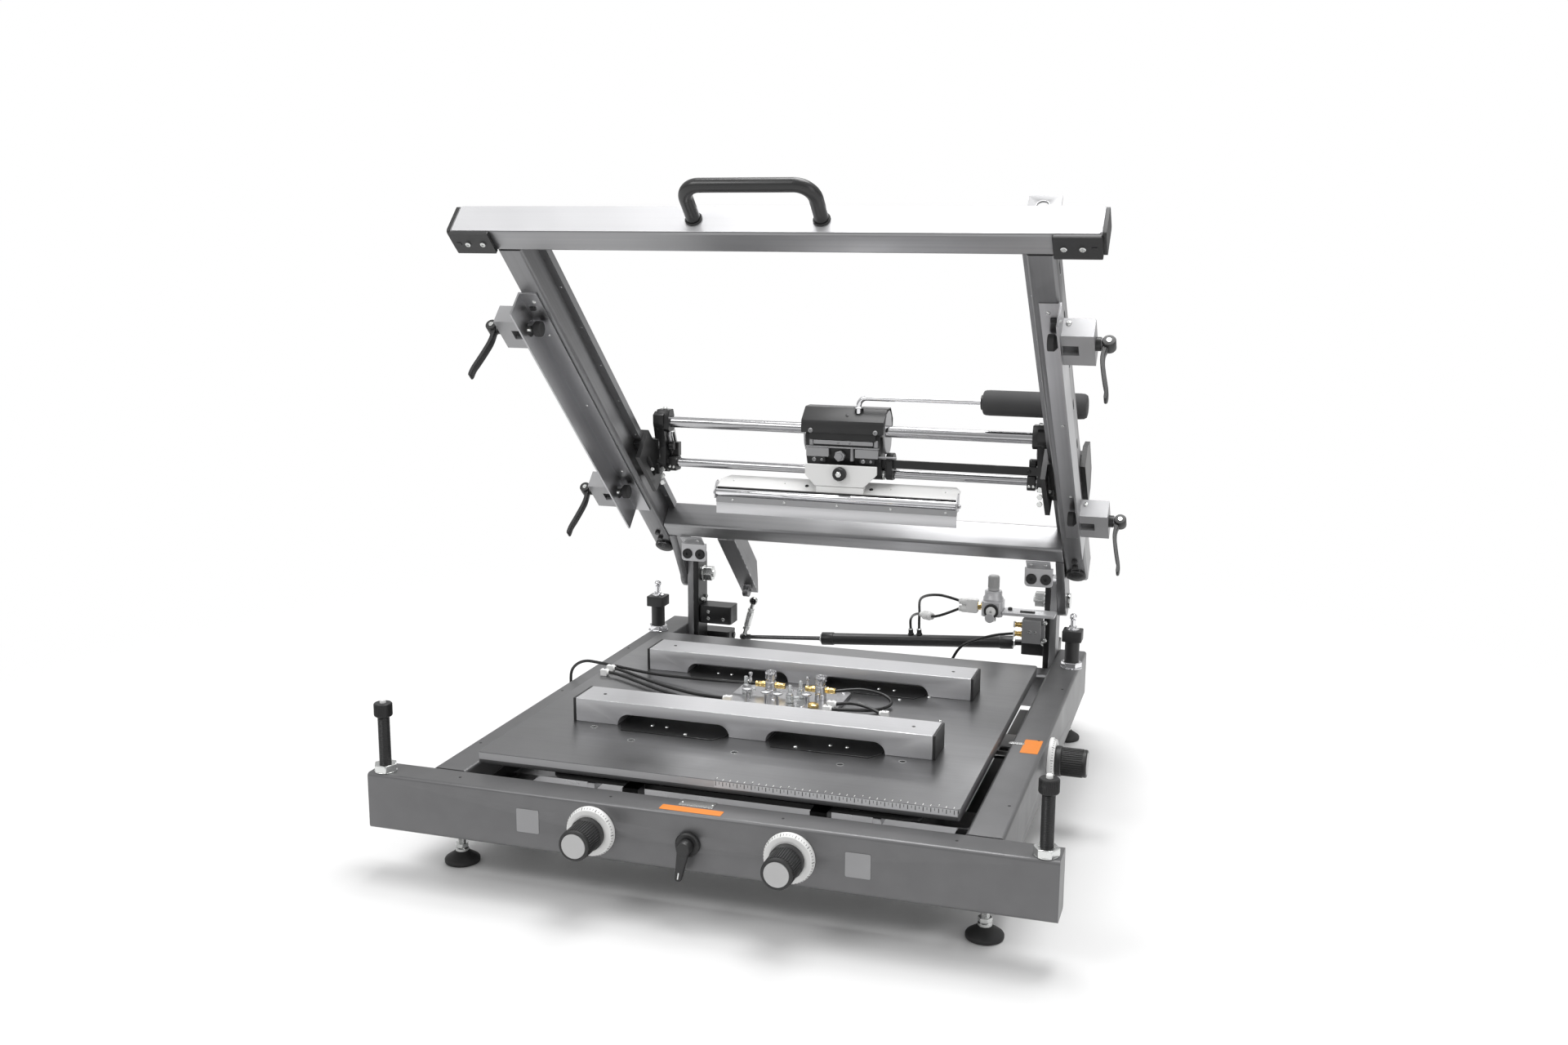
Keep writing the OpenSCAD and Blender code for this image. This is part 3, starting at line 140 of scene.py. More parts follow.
def shader_group(name, inputs, outputs):
    tree = bpy.data.node_groups.new(name, "ShaderNodeTree")
    for label, kind, value in inputs:
        socket = tree.interface.new_socket(label, in_out="INPUT", socket_type="NodeSocket" + kind)
        if value is not None:
            socket.default_value = value
    for label in outputs:
        tree.interface.new_socket(label, in_out="OUTPUT", socket_type="NodeSocketFloat")
    return tree, tree.nodes.new("NodeGroupInput").outputs, tree.nodes.new("NodeGroupOutput").inputs


def fine_grain_group():
    """The grain of a sprayed or moulded surface: its height, and a slow drift of its shade."""
    tree, given, out = shader_group("Fine grain", [("Vector", "Vector", None), ("Scale", "Float", 900.0)],
                                    ["Height", "Shade"])
    grain = make(tree, "ShaderNodeTexNoise", {"Vector": given["Vector"], "Scale": given["Scale"], "Detail": 3.0})
    slow = make(tree, "ShaderNodeMath", {0: given["Scale"], 1: 0.02}, operation="MULTIPLY")
    drift = make(tree, "ShaderNodeTexNoise", {"Vector": given["Vector"], "Scale": slow.outputs[0], "Detail": 4.0})
    tree.links.new(grain.outputs[0], out["Height"])
    tree.links.new(drift.outputs[0], out["Shade"])
    return tree


def brushed_group():
    """Long fine lines along a direction, as brushing, rolling or drawing leaves them."""
    tree, given, out = shader_group(
        "Brushed lines", [("Vector", "Vector", None), ("Direction", "Vector", (1, 0, 0)),
                          ("Across", "Float", 1500.0), ("Along", "Float", 12.0)], ["Height", "Shade"])
    reach = make(tree, "ShaderNodeVectorMath", {0: given["Vector"], 1: given["Direction"]}, operation="DOT_PRODUCT")
    less = make(tree, "ShaderNodeMath", {0: given["Along"], 1: given["Across"]}, operation="SUBTRACT")
    pull = make(tree, "ShaderNodeMath", {0: reach.outputs["Value"], 1: less.outputs[0]}, operation="MULTIPLY")
    back = make(tree, "ShaderNodeVectorMath", {0: given["Direction"], "Scale": pull.outputs[0]}, operation="SCALE")
    spread = make(tree, "ShaderNodeVectorMath", {0: given["Vector"], "Scale": given["Across"]}, operation="SCALE")
    lines = make(tree, "ShaderNodeVectorMath", {0: spread.outputs[0], 1: back.outputs[0]}, operation="ADD")
    fine = make(tree, "ShaderNodeTexNoise", {"Vector": lines.outputs[0], "Scale": 1.0, "Detail": 2.0})
    wide = make(tree, "ShaderNodeTexNoise", {"Vector": lines.outputs[0], "Scale": 0.11, "Detail": 3.0})
    tree.links.new(fine.outputs[0], out["Height"])
    tree.links.new(wide.outputs[0], out["Shade"])
    return tree


def worn_edge_group():
    """Where an edge is rubbed bare: broken up along the bevels that the edge attribute marks."""
    tree, given, out = shader_group("Worn edge", [("Vector", "Vector", None), ("Edge", "Float", 0.0),
                                                  ("Amount", "Float", 0.4)], ["Mask"])
    patches = make(tree, "ShaderNodeTexNoise", {"Vector": given["Vector"], "Scale": 55.0, "Detail": 6.0,
                                                "Roughness": 0.7})
    over = make(tree, "ShaderNodeMath", {0: patches.outputs[0], 1: given["Amount"]}, operation="ADD")
    step = make(tree, "ShaderNodeMapRange", {"Value": over.outputs[0], "From Min": 0.85, "From Max": 1.05})
    mask = make(tree, "ShaderNodeMath", {0: step.outputs[0], 1: given["Edge"]}, operation="MULTIPLY")
    tree.links.new(mask.outputs[0], out["Mask"])
    return tree


def handling_group():
    """Faint smears of handling and wiping, which change how sharply a surface shines."""
    tree, given, out = shader_group("Handling marks", [("Vector", "Vector", None), ("Scale", "Float", 9.0)],
                                    ["Mask"])
    smear = make(tree, "ShaderNodeTexNoise", {"Vector": given["Vector"], "Scale": given["Scale"], "Detail": 5.0,
                                              "Distortion": 0.8})
    mask = make(tree, "ShaderNodeMapRange", {"Value": smear.outputs[0], "From Min": 0.35, "From Max": 0.7})
    tree.links.new(mask.outputs[0], out["Mask"])
    return tree


FINE_GRAIN = fine_grain_group()
BRUSHED = brushed_group()
WORN_EDGE = worn_edge_group()
HANDLING = handling_group()


def finish(name, colour, rough, metallic=0.0, grain=(0.0, 900.0), brushed=None,
           drift=0.1, smear=0.08, worn=0.0, worn_colour=(0.62, 0.62, 0.63), worn_metallic=1.0, **shader):
    """A material: its colour drifts, its shine is smeared, and grain, brushed lines and worn edges are added.
    Grain is a depth in mm and a scale, brushed is a direction and a depth in mm, and one number is a cool grey."""
    if isinstance(colour, float):
        colour = (colour, colour, colour * 1.02)
    material = bpy.data.materials.new(name)
    material.use_nodes = True
    tree = material.node_tree
    shell = tree.nodes["Principled BSDF"]
    place = make(tree, "ShaderNodeTexCoord").outputs["Object"]
    if brushed:
        way, depth = brushed
        pattern = make(tree, "ShaderNodeGroup", {"Direction": way}, node_tree=BRUSHED)
    else:
        depth, scale = grain
        pattern = make(tree, "ShaderNodeGroup", {"Scale": scale}, node_tree=FINE_GRAIN)
    tree.links.new(place, pattern.inputs["Vector"])
    dark = [c * (1 - drift) for c in colour] + [1.0]
    light = [min(1.0, c * (1 + drift)) for c in colour] + [1.0]
    tone = make(tree, "ShaderNodeMix", {0: pattern.outputs["Shade"], 6: dark, 7: light}, data_type="RGBA")
    base = tone.outputs[2]
    marks = make(tree, "ShaderNodeGroup", {"Vector": place}, node_tree=HANDLING)
    shine = make(tree, "ShaderNodeMapRange", {"Value": marks.outputs["Mask"], "To Min": rough - smear / 2,
                                              "To Max": rough + smear / 2})
    tree.links.new(shine.outputs[0], shell.inputs["Roughness"])
    if worn:
        edge = make(tree, "ShaderNodeAttribute", attribute_name="edge")
        rub = make(tree, "ShaderNodeGroup", {"Vector": place, "Edge": edge.outputs["Fac"], "Amount": worn},
                   node_tree=WORN_EDGE)
        mixed = make(tree, "ShaderNodeMix", {0: rub.outputs["Mask"], 6: base, 7: [*worn_colour, 1.0]},
                     data_type="RGBA")
        base = mixed.outputs[2]
        metal = make(tree, "ShaderNodeMapRange", {"Value": rub.outputs["Mask"], "To Min": metallic,
                                                  "To Max": worn_metallic})
        tree.links.new(metal.outputs[0], shell.inputs["Metallic"])
    else:
        shell.inputs["Metallic"].default_value = metallic
    tree.links.new(base, shell.inputs["Base Color"])
    bump = make(tree, "ShaderNodeBump", {"Height": pattern.outputs["Height"], "Strength": 1.0,
                                         "Distance": depth * MM})
    tree.links.new(bump.outputs[0], shell.inputs["Normal"])
    for key, value in shader.items():
        shell.inputs[key.replace("_", " ").title().replace("Ior", "IOR")].default_value = value
    return material


X_WAY = (1, 0, 0)
LID_WAY = tuple(ALONG_LID)
FRAME_GREY = finish("frame_grey_paint", 0.155, 0.40, 0.55, grain=(0.012, 1600), worn=0.28)
ARM_GREY = finish("arm_satin_steel", 0.23, 0.34, 0.9, brushed=(LID_WAY, 0.010), drift=0.14, worn=0.35)
BEAM_GREY = finish("beam_satin_steel", 0.30, 0.34, 0.9, brushed=(X_WAY, 0.010), drift=0.14, worn=0.35)
BRUSHED_STEEL = finish("brushed_steel", 0.52, 0.30, 1.0, brushed=(X_WAY, 0.012), drift=0.12, worn=0.3)
RAIL_STEEL = finish("rail_steel", 0.42, 0.33, 1.0, brushed=(LID_WAY, 0.012), drift=0.12, worn=0.3)
CHROME = finish("chrome", 0.83, 0.07, 1.0, grain=(0.001, 2500), drift=0.03, smear=0.06)
ZINC = finish("zinc_plate", (0.70, 0.71, 0.70), 0.24, 1.0, grain=(0.004, 2200), drift=0.08, worn=0.3)
TABLE_ALLOY = finish("ground_plate", 0.22, 0.33, 0.92, brushed=(X_WAY, 0.006), drift=0.08, smear=0.10,
                     worn=0.3, worn_colour=(0.8, 0.8, 0.81))
BAR_ALLOY = finish("anodised_bar", 0.60, 0.42, 0.75, brushed=(X_WAY, 0.005), drift=0.05, worn=0.35,
                   worn_colour=(0.9, 0.9, 0.9))
BLOCK_ALLOY = finish("cast_alloy", 0.33, 0.44, 0.6, grain=(0.010, 1400), drift=0.06, worn=0.3,
                     worn_colour=(0.85, 0.85, 0.85))
# real black anodised parts, and also the black of plates of painted shade: rail gaps, bar pockets, the squeegee
# groove, holes in the bars' tops
BLACK_ANODISED_AND_SHADE = finish("black_anodised", 0.022, 0.36, 0.35, grain=(0.006, 2000), drift=0.2, worn=0.3,
                        worn_colour=(0.35, 0.35, 0.35))
COVER_GREY = finish("cover_coat", 0.025, 0.42, 0.2, grain=(0.014, 1500), drift=0.12, worn=0.25,
                    worn_colour=(0.3, 0.3, 0.3))
BLACK_PLASTIC = finish("black_plastic", 0.018, 0.42, grain=(0.010, 1800), drift=0.15, worn=0.2,
                       worn_colour=(0.06, 0.06, 0.06), worn_metallic=0.0)
HANDLE_BLACK = finish("handle_black", 0.020, 0.30, grain=(0.006, 1800), drift=0.12, smear=0.12)
RUBBER = finish("black_rubber", 0.024, 0.62, grain=(0.02, 1300), drift=0.2)
FOAM = finish("grip_foam", 0.045, 0.80, grain=(0.05, 900), drift=0.2)
HOSE = finish("hose_black", 0.012, 0.30, grain=(0.003, 1200), drift=0.1)
WHITE_PAINT = finish("white_paint", (0.84, 0.84, 0.83), 0.34, grain=(0.008, 1300), drift=0.02, worn=0.2,
                     worn_colour=(0.7, 0.7, 0.7))
WHITE_PLASTIC = finish("white_plastic", (0.80, 0.80, 0.79), 0.40, grain=(0.006, 1500), drift=0.03)
CAP_GREY = finish("cap_grey", (0.46, 0.46, 0.46), 0.5, grain=(0.006, 1600), drift=0.04)
# real printed marks, and also the black of the tapped holes' discs, which is painted shade
INK_AND_SHADE_BLACK = finish("printed_mark_and_hole_shade", 0.02, 0.5, grain=(0.002, 1500), drift=0.05)
BRASS = finish("turned_brass", (0.78, 0.58, 0.24), 0.22, 1.0, grain=(0.004, 2200), drift=0.1, worn=0.2,
               worn_colour=(0.9, 0.75, 0.45))
POLISHED = finish("polished_steel", 0.74, 0.15, 1.0, grain=(0.002, 2200), drift=0.06, worn=0.2)
CLEAR = finish("clear_fitting", (0.86, 0.88, 0.88), 0.16, grain=(0.003, 1500), drift=0.03,
               transmission_weight=0.75, ior=1.45)
BLANK_PLATE = finish("bare_plate", 0.36, 0.38, 0.7, grain=(0.004, 2200), drift=0.05)
LABEL_GREY = finish("bare_label", 0.30, 0.45, 0.2, grain=(0.003, 1800), drift=0.04)
FACE_SILVER = finish("lid_face_silver", 0.60, 0.40, 0.55, brushed=(X_WAY, 0.003), drift=0.04)
BUFFER_STEEL = finish("buffer_steel", 0.58, 0.36, 0.6, brushed=(X_WAY, 0.004), drift=0.06, worn=0.3)
LIFT_STEEL = finish("lift_channel_steel", 0.19, 0.38, 0.8, brushed=(LID_WAY, 0.008), drift=0.1, worn=0.4)
ROD_DARK = finish("dark_rod", 0.10, 0.22, 1.0, grain=(0.002, 2200), drift=0.06)
CATCH_WHITE = finish("catch_white", 0.34, 0.42, 0.1, grain=(0.004, 1500), drift=0.04, worn=0.3)
ROD_STEEL = finish("ground_rod", 0.46, 0.16, 1.0, grain=(0.001, 2500), drift=0.04, smear=0.05)
AIR_ALLOY = finish("air_alloy", 0.60, 0.44, 0.5, grain=(0.010, 1400), drift=0.06, worn=0.3)
RULER_STEEL = finish("ruler_steel", 0.60, 0.42, 0.15, brushed=(X_WAY, 0.002), drift=0.03)
# a lighter, less metallic copy of the table's alloy for its front face: painted light
LIT_FRONT_ALLOY = finish("painted_light_front_face", 0.44, 0.42, 0.3, brushed=(X_WAY, 0.004), drift=0.06)
BLADE_STEEL = finish("blade_steel", 0.72, 0.34, 0.5, brushed=(X_WAY, 0.003), drift=0.04)
LABEL_ORANGE = finish("orange_film", (0.74, 0.22, 0.02), 0.45, grain=(0.003, 1500), drift=0.05)


# -------------------- solids
SHARP = math.radians(35)
NEARLY_FLAT = 0.006
AXIS_R = 1e-6
SAME_POINT = 2e-6
IN_PLANE = math.radians(0.5)


class Solid:
    """Points in millimetres, faces, and for each face whether it is smooth and whether it is a bevel."""

    def __init__(self, points=(), faces=(), smooth=(), edge=()):
        self.points, self.faces = list(points), list(faces)
        self.smooth, self.edge = list(smooth), list(edge)

    def add(self, other, place=None):
        place = place or HERE
        first = len(self.points)
        inside_out = place.determinant() < 0
        self.points += [place @ p for p in other.points]
        for face in other.faces:
            face = [first + i for i in face]
            self.faces.append(face[::-1] if inside_out else face)
        self.smooth += other.smooth
        self.edge += other.edge
        return self

    def at(self, *places):
        return Solid().add(self, mul(places))

    def mesh(self, name, place):
        mesh = bpy.data.meshes.new(name)
        mesh.from_pydata([place @ p for p in self.points], [], self.faces)
        mesh.set_sharp_from_angle(angle=SHARP)
        mesh.polygons.foreach_set("use_smooth", self.smooth)
        edge = mesh.attributes.new("edge", "FLOAT", "FACE")
        edge.data.foreach_set("value", [float(e) for e in self.edge])
        mesh.validate()
        return mesh


def solids(count):
    return [Solid() for _ in range(count)]


def mul(places):
    whole = HERE
    for place in places:
        whole = whole @ place
    return whole


def settle(mesh, bevel=0.0, segments=2, up=True):
    """Turns a bmesh into a Solid: round walls are smooth, and sharp edges are bevelled."""
    if up:
        bmesh.ops.recalc_face_normals(mesh, faces=mesh.faces)
    mesh.normal_update()

    def bent(edge):
        return edge.calc_face_angle(0.0) if len(edge.link_faces) == 2 else 0.0

    angles = {edge: bent(edge) for edge in mesh.edges}
    for face in mesh.faces:
        face.smooth = any(NEARLY_FLAT < angles[edge] < SHARP for edge in face.edges)
    bevels = set()
    if bevel:
        edges = [edge for edge, angle in angles.items() if angle >= SHARP]
        made = bmesh.ops.bevel(mesh, geom=edges, offset=bevel, offset_type="OFFSET", segments=segments,
                               profile=0.5, affect="EDGES", clamp_overlap=True)
        bevels = set(made["faces"])
        for face in bevels:
            face.smooth = True
    mesh.verts.index_update()
    solid = Solid([v.co.copy() for v in mesh.verts], [[v.index for v in f.verts] for f in mesh.faces],
                  [f.smooth for f in mesh.faces], [f in bevels for f in mesh.faces])
    mesh.free()
    return solid


def prism(outline, height, bevel=0.0, holes=(), segments=2):
    """A plate from z 0 to its height, with holes."""
    loops = [list(outline), *[list(h) for h in holes]]
    points, edges, faces = [], [], []
    for loop in loops:
        first, count = len(points), len(loop)
        points += [Vector(p) for p in loop]
        edges += [(first + i, first + (i + 1) % count) for i in range(count)]
        faces.append([first + i for i in range(count)])
    if holes:
        points, _, faces, *_ = delaunay_2d_cdt(points, edges, faces, 5, 1e-5)
    else:
        faces = faces[:1]
    mesh = bmesh.new()
    verts = [mesh.verts.new((p[0], p[1], 0)) for p in points]
    for face in faces:
        mesh.faces.new([verts[i] for i in face])
    grown = bmesh.ops.extrude_face_region(mesh, geom=mesh.faces[:])
    bmesh.ops.translate(mesh, verts=[v for v in grown["geom"] if isinstance(v, bmesh.types.BMVert)],
                        vec=(0, 0, height))
    return settle(mesh, bevel, segments)


def box(x, y, z, bevel=0.4, centred=True):
    """A block with its corner at the origin, or centred in x and y."""
    low_x, low_y = (-x / 2, -y / 2) if centred else (0, 0)
    return prism([(low_x, low_y), (low_x + x, low_y), (low_x + x, low_y + y), (low_x, low_y + y)], z, bevel)


def arc(cx, cy, r, start, end, count=8):
    return [(cx + r * math.cos(math.radians(start + (end - start) * i / count)),
             cy + r * math.sin(math.radians(start + (end - start) * i / count))) for i in range(count + 1)]


def circle(r, count=32, cx=0.0, cy=0.0):
    return arc(cx, cy, r, 0, 360, count)[:-1]


def round_box(w, h, r, cx=0.0, cy=0.0, count=5):
    w, h = w / 2 - r, h / 2 - r
    return [p for sx, sy, a in ((1, 1, 0), (-1, 1, 90), (-1, -1, 180), (1, -1, 270))
            for p in arc(cx + sx * w, cy + sy * h, r, a, a + 90, count)]


def slot(length, height, cx=0.0, cy=0.0):
    return round_box(length, height, height / 2 - 0.01, cx, cy, 8)


def spun(mesh, r, z, sides):
    """A ring of vertices about Z."""
    return [mesh.verts.new((r * math.cos(2 * math.pi * i / sides), r * math.sin(2 * math.pi * i / sides), z))
            for i in range(sides)]


def skin_over(mesh, rings, ends=True):
    """Faces from each ring of vertices to the next, where one vertex is a tip, and over the open ends."""
    for low, high in zip(rings, rings[1:]):
        sides = max(len(low), len(high))
        for i in range(sides):
            j = (i + 1) % sides
            face = [low[i % len(low)], low[j % len(low)], high[j % len(high)], high[i % len(high)]]
            face = list(dict.fromkeys(face))
            if len(face) > 2:
                mesh.faces.new(face)
    if ends and len(rings[0]) > 1:
        mesh.faces.new(rings[0][::-1])
    if ends and len(rings[-1]) > 1:
        mesh.faces.new(rings[-1])
    return settle(mesh)


def lathe(profile, sides=40):
    """A turned piece about Z, from the axis below to the axis above."""
    mesh = bmesh.new()
    return skin_over(mesh, [[mesh.verts.new((0, 0, z))] if r < AXIS_R else spun(mesh, r, z, sides) for r,
                            z in profile])


def rod(r, length, bevel=0.4, sides=40):
    return lathe([(r - bevel, 0), (r, bevel), (r, length - bevel), (r - bevel, length)], sides)


def pipe(r, hole, length, bevel=0.3, sides=40):
    """A ring or washer."""
    mesh = bmesh.new()
    profile = [(hole, bevel), (hole + bevel, 0), (r - bevel, 0), (r, bevel), (r, length - bevel),
               (r - bevel, length), (hole + bevel, length), (hole, length - bevel)]
    rings = [spun(mesh, q, z, sides) for q, z in profile]
    return skin_over(mesh, rings + rings[:1], ends=False)


def hexagon(across, height, bevel=0.6):
    return prism(circle(across / 2 / math.cos(math.radians(30)), 6), height, bevel)


def thread(r, depth, pitch, length, sides=28):
    """A screw thread: one helical ridge, four rows to a turn."""
    rows = max(4, round(4 * length / pitch))
    mesh = bmesh.new()
    rings = []
    for k in range(rows + 1):
        z = length * k / rows
        ring = []
        for i in range(sides):
            phase = (z / pitch - i / sides) % 1.0
            ring.append(mesh.verts.new(((r - depth * abs(2 * phase - 1)) * math.cos(2 * math.pi * i / sides),
                                        (r - depth * abs(2 * phase - 1)) * math.sin(2 * math.pi * i / sides), z)))
        rings.append(ring)
    solid = skin_over(mesh, rings)
    solid.smooth = [len(f) < 5 for f in solid.faces]
    return solid


def smooth_path(points, steps):
    """A Catmull-Rom curve through the points, as the part's source draws its hoses."""
    p = [Vector(q) for q in points]
    path = []
    for i in range(len(p) - 1):
        a, b, c, d = p[max(i - 1, 0)], p[i], p[i + 1], p[min(i + 2, len(p) - 1)]
        for j in range(steps):
            t = j / steps
            path.append((2 * b + (c - a) * t + (2 * a - 5 * b + 4 * c - d) * t * t
                         + (3 * b - a - 3 * c + d) * t ** 3) / 2)
    return path + [p[-1]]


def round_path(points, r, steps=8):
    """A polyline with its corners rounded to a radius."""
    p = [Vector(q) for q in points]
    path = [p[0]]
    for a, b, c in zip(p, p[1:], p[2:]):
        u, v = (a - b).normalized(), (c - b).normalized()
        half = u.angle(v) / 2
        reach = r / math.tan(half)
        centre = b + (u + v).normalized() * (r / math.sin(half))
        start, end = b + u * reach - centre, b + v * reach - centre
        whole = start.angle(end)
        for i in range(steps + 1):
            t = i / steps
            path.append(centre + (start * math.sin((1 - t) * whole) + end * math.sin(t * whole)) / math.sin(whole))
    return path + [p[-1]]


def sweep(path, r, sides=20, round_end=0.0):
    """A round tube along a path, its ends flat or slightly rounded."""
    path = [Vector(p) for p in path]
    heading = [(path[min(i + 1, len(path) - 1)] - path[max(i - 1, 0)]).normalized() for i in range(len(path))]
    side = heading[0].orthogonal().normalized()
    mesh = bmesh.new()
    rings = []
    radii = [r] * len(path)
    if round_end:
        path = [path[0], path[0] + heading[0] * round_end, *path[1:-1], path[-1] - heading[-1] * round_end, path[-1]]
        heading = [heading[0], heading[0], *heading[1:-1], heading[-1], heading[-1]]
        radii = [r - round_end, r, *radii[1:-1], r, r - round_end]
    for point, way, q in zip(path, heading, radii):
        side = (side - way * side.dot(way)).normalized()
        other = way.cross(side)
        rings.append([mesh.verts.new(point + q * (math.cos(2 * math.pi * i / sides) * side
                                                  + math.sin(2 * math.pi * i / sides) * other))
                      for i in range(sides)])
    return skin_over(mesh, rings)


def ball(r, sides=32, rows=16):
    return lathe([(r * math.sin(math.pi * i / rows), -r * math.cos(math.pi * i / rows)) for i in range(rows + 1)],
                 sides)


def cap_screw(r, height=None):
    """A socket cap screw's head, seat at z 0."""
    height = height or 1.2 * r
    return lathe([(r - 0.1 * r, 0), (r, 0.1 * r), (r, height - 0.2 * r), (r - 0.2 * r, height), (0.52 * r, height),
                  (0.52 * r, 0.45 * height), (0, 0.4 * height)], 24)


def pan_screw(r):
    """A low domed screw head with a hexagon socket, seat at z 0."""
    return lathe([(0.98 * r, 0), (r, 0.12 * r), (0.82 * r, 0.42 * r), (0.5 * r, 0.56 * r), (0.42 * r, 0.56 * r),
                  (0.42 * r, 0.2 * r), (0, 0.2 * r)], 20)


# -------------------- pieces
def put(name, mesh, body, material, replaces=()):
    piece = bpy.data.objects.new(name, mesh)
    bpy.context.scene.collection.objects.link(piece)
    mesh.materials.clear()
    mesh.materials.append(material)
    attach(piece, body)
    if replaces:
        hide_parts(*replaces)
    return piece


def build(name, solid, place, body, material, replaces=()):
    return put(name, solid.mesh(name, place), body, material, replaces)


def node_mesh(node):
    """A merged copy of a CAD node's loose triangles, its flat faces joined."""
    mesh = bmesh.new()
    mesh.from_mesh(frame["nodes"][node].data)
    bmesh.ops.remove_doubles(mesh, verts=mesh.verts, dist=SAME_POINT)
    bmesh.ops.dissolve_limit(mesh, angle_limit=IN_PLANE, verts=mesh.verts, edges=mesh.edges,
                             delimit={"NORMAL"})
    return mesh


BODY_OF = {node: body for body, nodes in frame["record"]["behaviour"]["bodies"].items() for node in nodes}


def dress(node, material, bevel=0.5, keep=None, name=None):
    """The node's own shape with bevelled edges; keep picks the part of it that this piece stands for."""
    mesh = node_mesh(node)
    if keep:
        seen, loose = set(), []
        for start in mesh.verts:
            if start in seen:
                continue
            island, todo = [], [start]
            seen.add(start)
            while todo:
                vert = todo.pop()
                island.append(vert)
                for edge in vert.link_edges:
                    other = edge.other_vert(vert)
                    if other not in seen:
                        seen.add(other)
                        todo.append(other)
            if not keep(sum((v.co for v in island), Vector()) / len(island)):
                loose += island
        bmesh.ops.delete(mesh, geom=loose, context="VERTS")
    solid = settle(mesh, bevel * MM, up=False)
    return build(name or node + "_dressed", solid, HERE, BODY_OF[node], material, [node])


# -------------------- camera, floor and light
CAMERA_AT = (0.6633, -2.1567, 0.8791)
CAMERA_YAW, CAMERA_PITCH, CAMERA_ROLL = 0.307, 0.190, 0.006
FOCAL_PIXELS, PHOTO_WIDTH, SENSOR = 1826.6, 1920, 36.0

eye = bpy.data.cameras.new("photo_camera")
eye.sensor_width = SENSOR
eye.lens = FOCAL_PIXELS / PHOTO_WIDTH * SENSOR
camera = bpy.data.objects.new("photo_camera", eye)
bpy.context.scene.collection.objects.link(camera)
bpy.context.scene.camera = camera
ahead = Vector((-math.sin(CAMERA_YAW) * math.cos(CAMERA_PITCH), math.cos(CAMERA_YAW) * math.cos(CAMERA_PITCH),
                -math.sin(CAMERA_PITCH)))
level = Vector((math.cos(CAMERA_YAW), math.sin(CAMERA_YAW), 0))
above = level.cross(ahead)
right = level * math.cos(CAMERA_ROLL) + above * math.sin(CAMERA_ROLL)
upright = above * math.cos(CAMERA_ROLL) - level * math.sin(CAMERA_ROLL)
camera.matrix_world = Matrix.Translation(CAMERA_AT) @ Matrix((right, upright, -ahead)).transposed().to_4x4()

FLOOR_SIZE = 60.0
FADE_FROM, FADE_TO = 0.75, 1.9
floor = bpy.data.objects.new("floor", bpy.data.meshes.new("floor"))
half_floor = FLOOR_SIZE / 2
floor.data.from_pydata([(-half_floor, -half_floor, 0), (half_floor, -half_floor, 0), (half_floor, half_floor, 0),
                        (-half_floor, half_floor, 0)], [], [(0, 1, 2, 3)])
bpy.context.scene.collection.objects.link(floor)
floor.data.materials.append(finish("pale_floor", (0.78, 0.78, 0.78), 0.7, grain=(0.02, 400), drift=0.01))
floor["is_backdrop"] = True
cloth = floor.data.materials[0].node_tree
spread = make(cloth, "ShaderNodeVectorMath", {0: make(cloth, "ShaderNodeTexCoord").outputs["Object"]},
              operation="LENGTH")
far = make(cloth, "ShaderNodeMapRange", {"Value": spread.outputs["Value"], "From Min": FADE_FROM,
                                         "From Max": FADE_TO}, interpolation_type="SMOOTHSTEP")
blank = make(cloth, "ShaderNodeEmission", {"Strength": 1.0})
faded = make(cloth, "ShaderNodeMixShader", {0: far.outputs[0], 1: cloth.nodes["Principled BSDF"].outputs[0],
                                            2: blank.outputs[0]})
cloth.links.new(faded.outputs[0], cloth.nodes["Material Output"].inputs[0])


def lamp(name, at, aim, size, power):
    light = bpy.data.lights.new(name, "AREA")
    light.shape = "RECTANGLE"
    light.size, light.size_y = size
    light.energy = power
    holder = bpy.data.objects.new(name, light)
    holder.location = at
    holder.rotation_mode = "QUATERNION"
    holder.rotation_quaternion = (Vector(aim) - Vector(at)).to_track_quat("-Z", "Y")
    bpy.context.scene.collection.objects.link(holder)


lamp("key_light", (-1.6, -2.2, 2.6), (0, 0, 0.4), (1.6, 1.2), 30)
lamp("fill_light", (2.6, -1.4, 1.4), (0, 0, 0.4), (1.2, 1.4), 8)
lamp("top_light", (0.2, 0.4, 3.0), (0, 0, 0.2), (2.0, 1.6), 72)
lamp("back_light", (-0.8, 2.8, 1.8), (0, 0, 0.5), (1.6, 1.0), 10)

world = bpy.data.worlds.new("studio")
bpy.context.scene.world = world
world.use_nodes = True
sky = world.node_tree
glow = sky.nodes["Background"]
height = make(sky, "ShaderNodeSeparateXYZ", {0: make(sky, "ShaderNodeTexCoord").outputs["Generated"]})
ramp = make(sky, "ShaderNodeMapRange", {"Value": height.outputs["Z"], "From Min": -0.2, "From Max": 0.8,
                                        "To Min": 0.22, "To Max": 0.8})
seen = make(sky, "ShaderNodeLightPath").outputs["Is Camera Ray"]
shown = make(sky, "ShaderNodeMix", {0: seen, 2: ramp.outputs[0], 3: 1.0}, data_type="FLOAT")
sky.links.new(shown.outputs[0], glow.inputs["Strength"])
glow.inputs["Color"].default_value = (1, 1, 1, 1)
bpy.context.scene.view_settings.view_transform = "Standard"

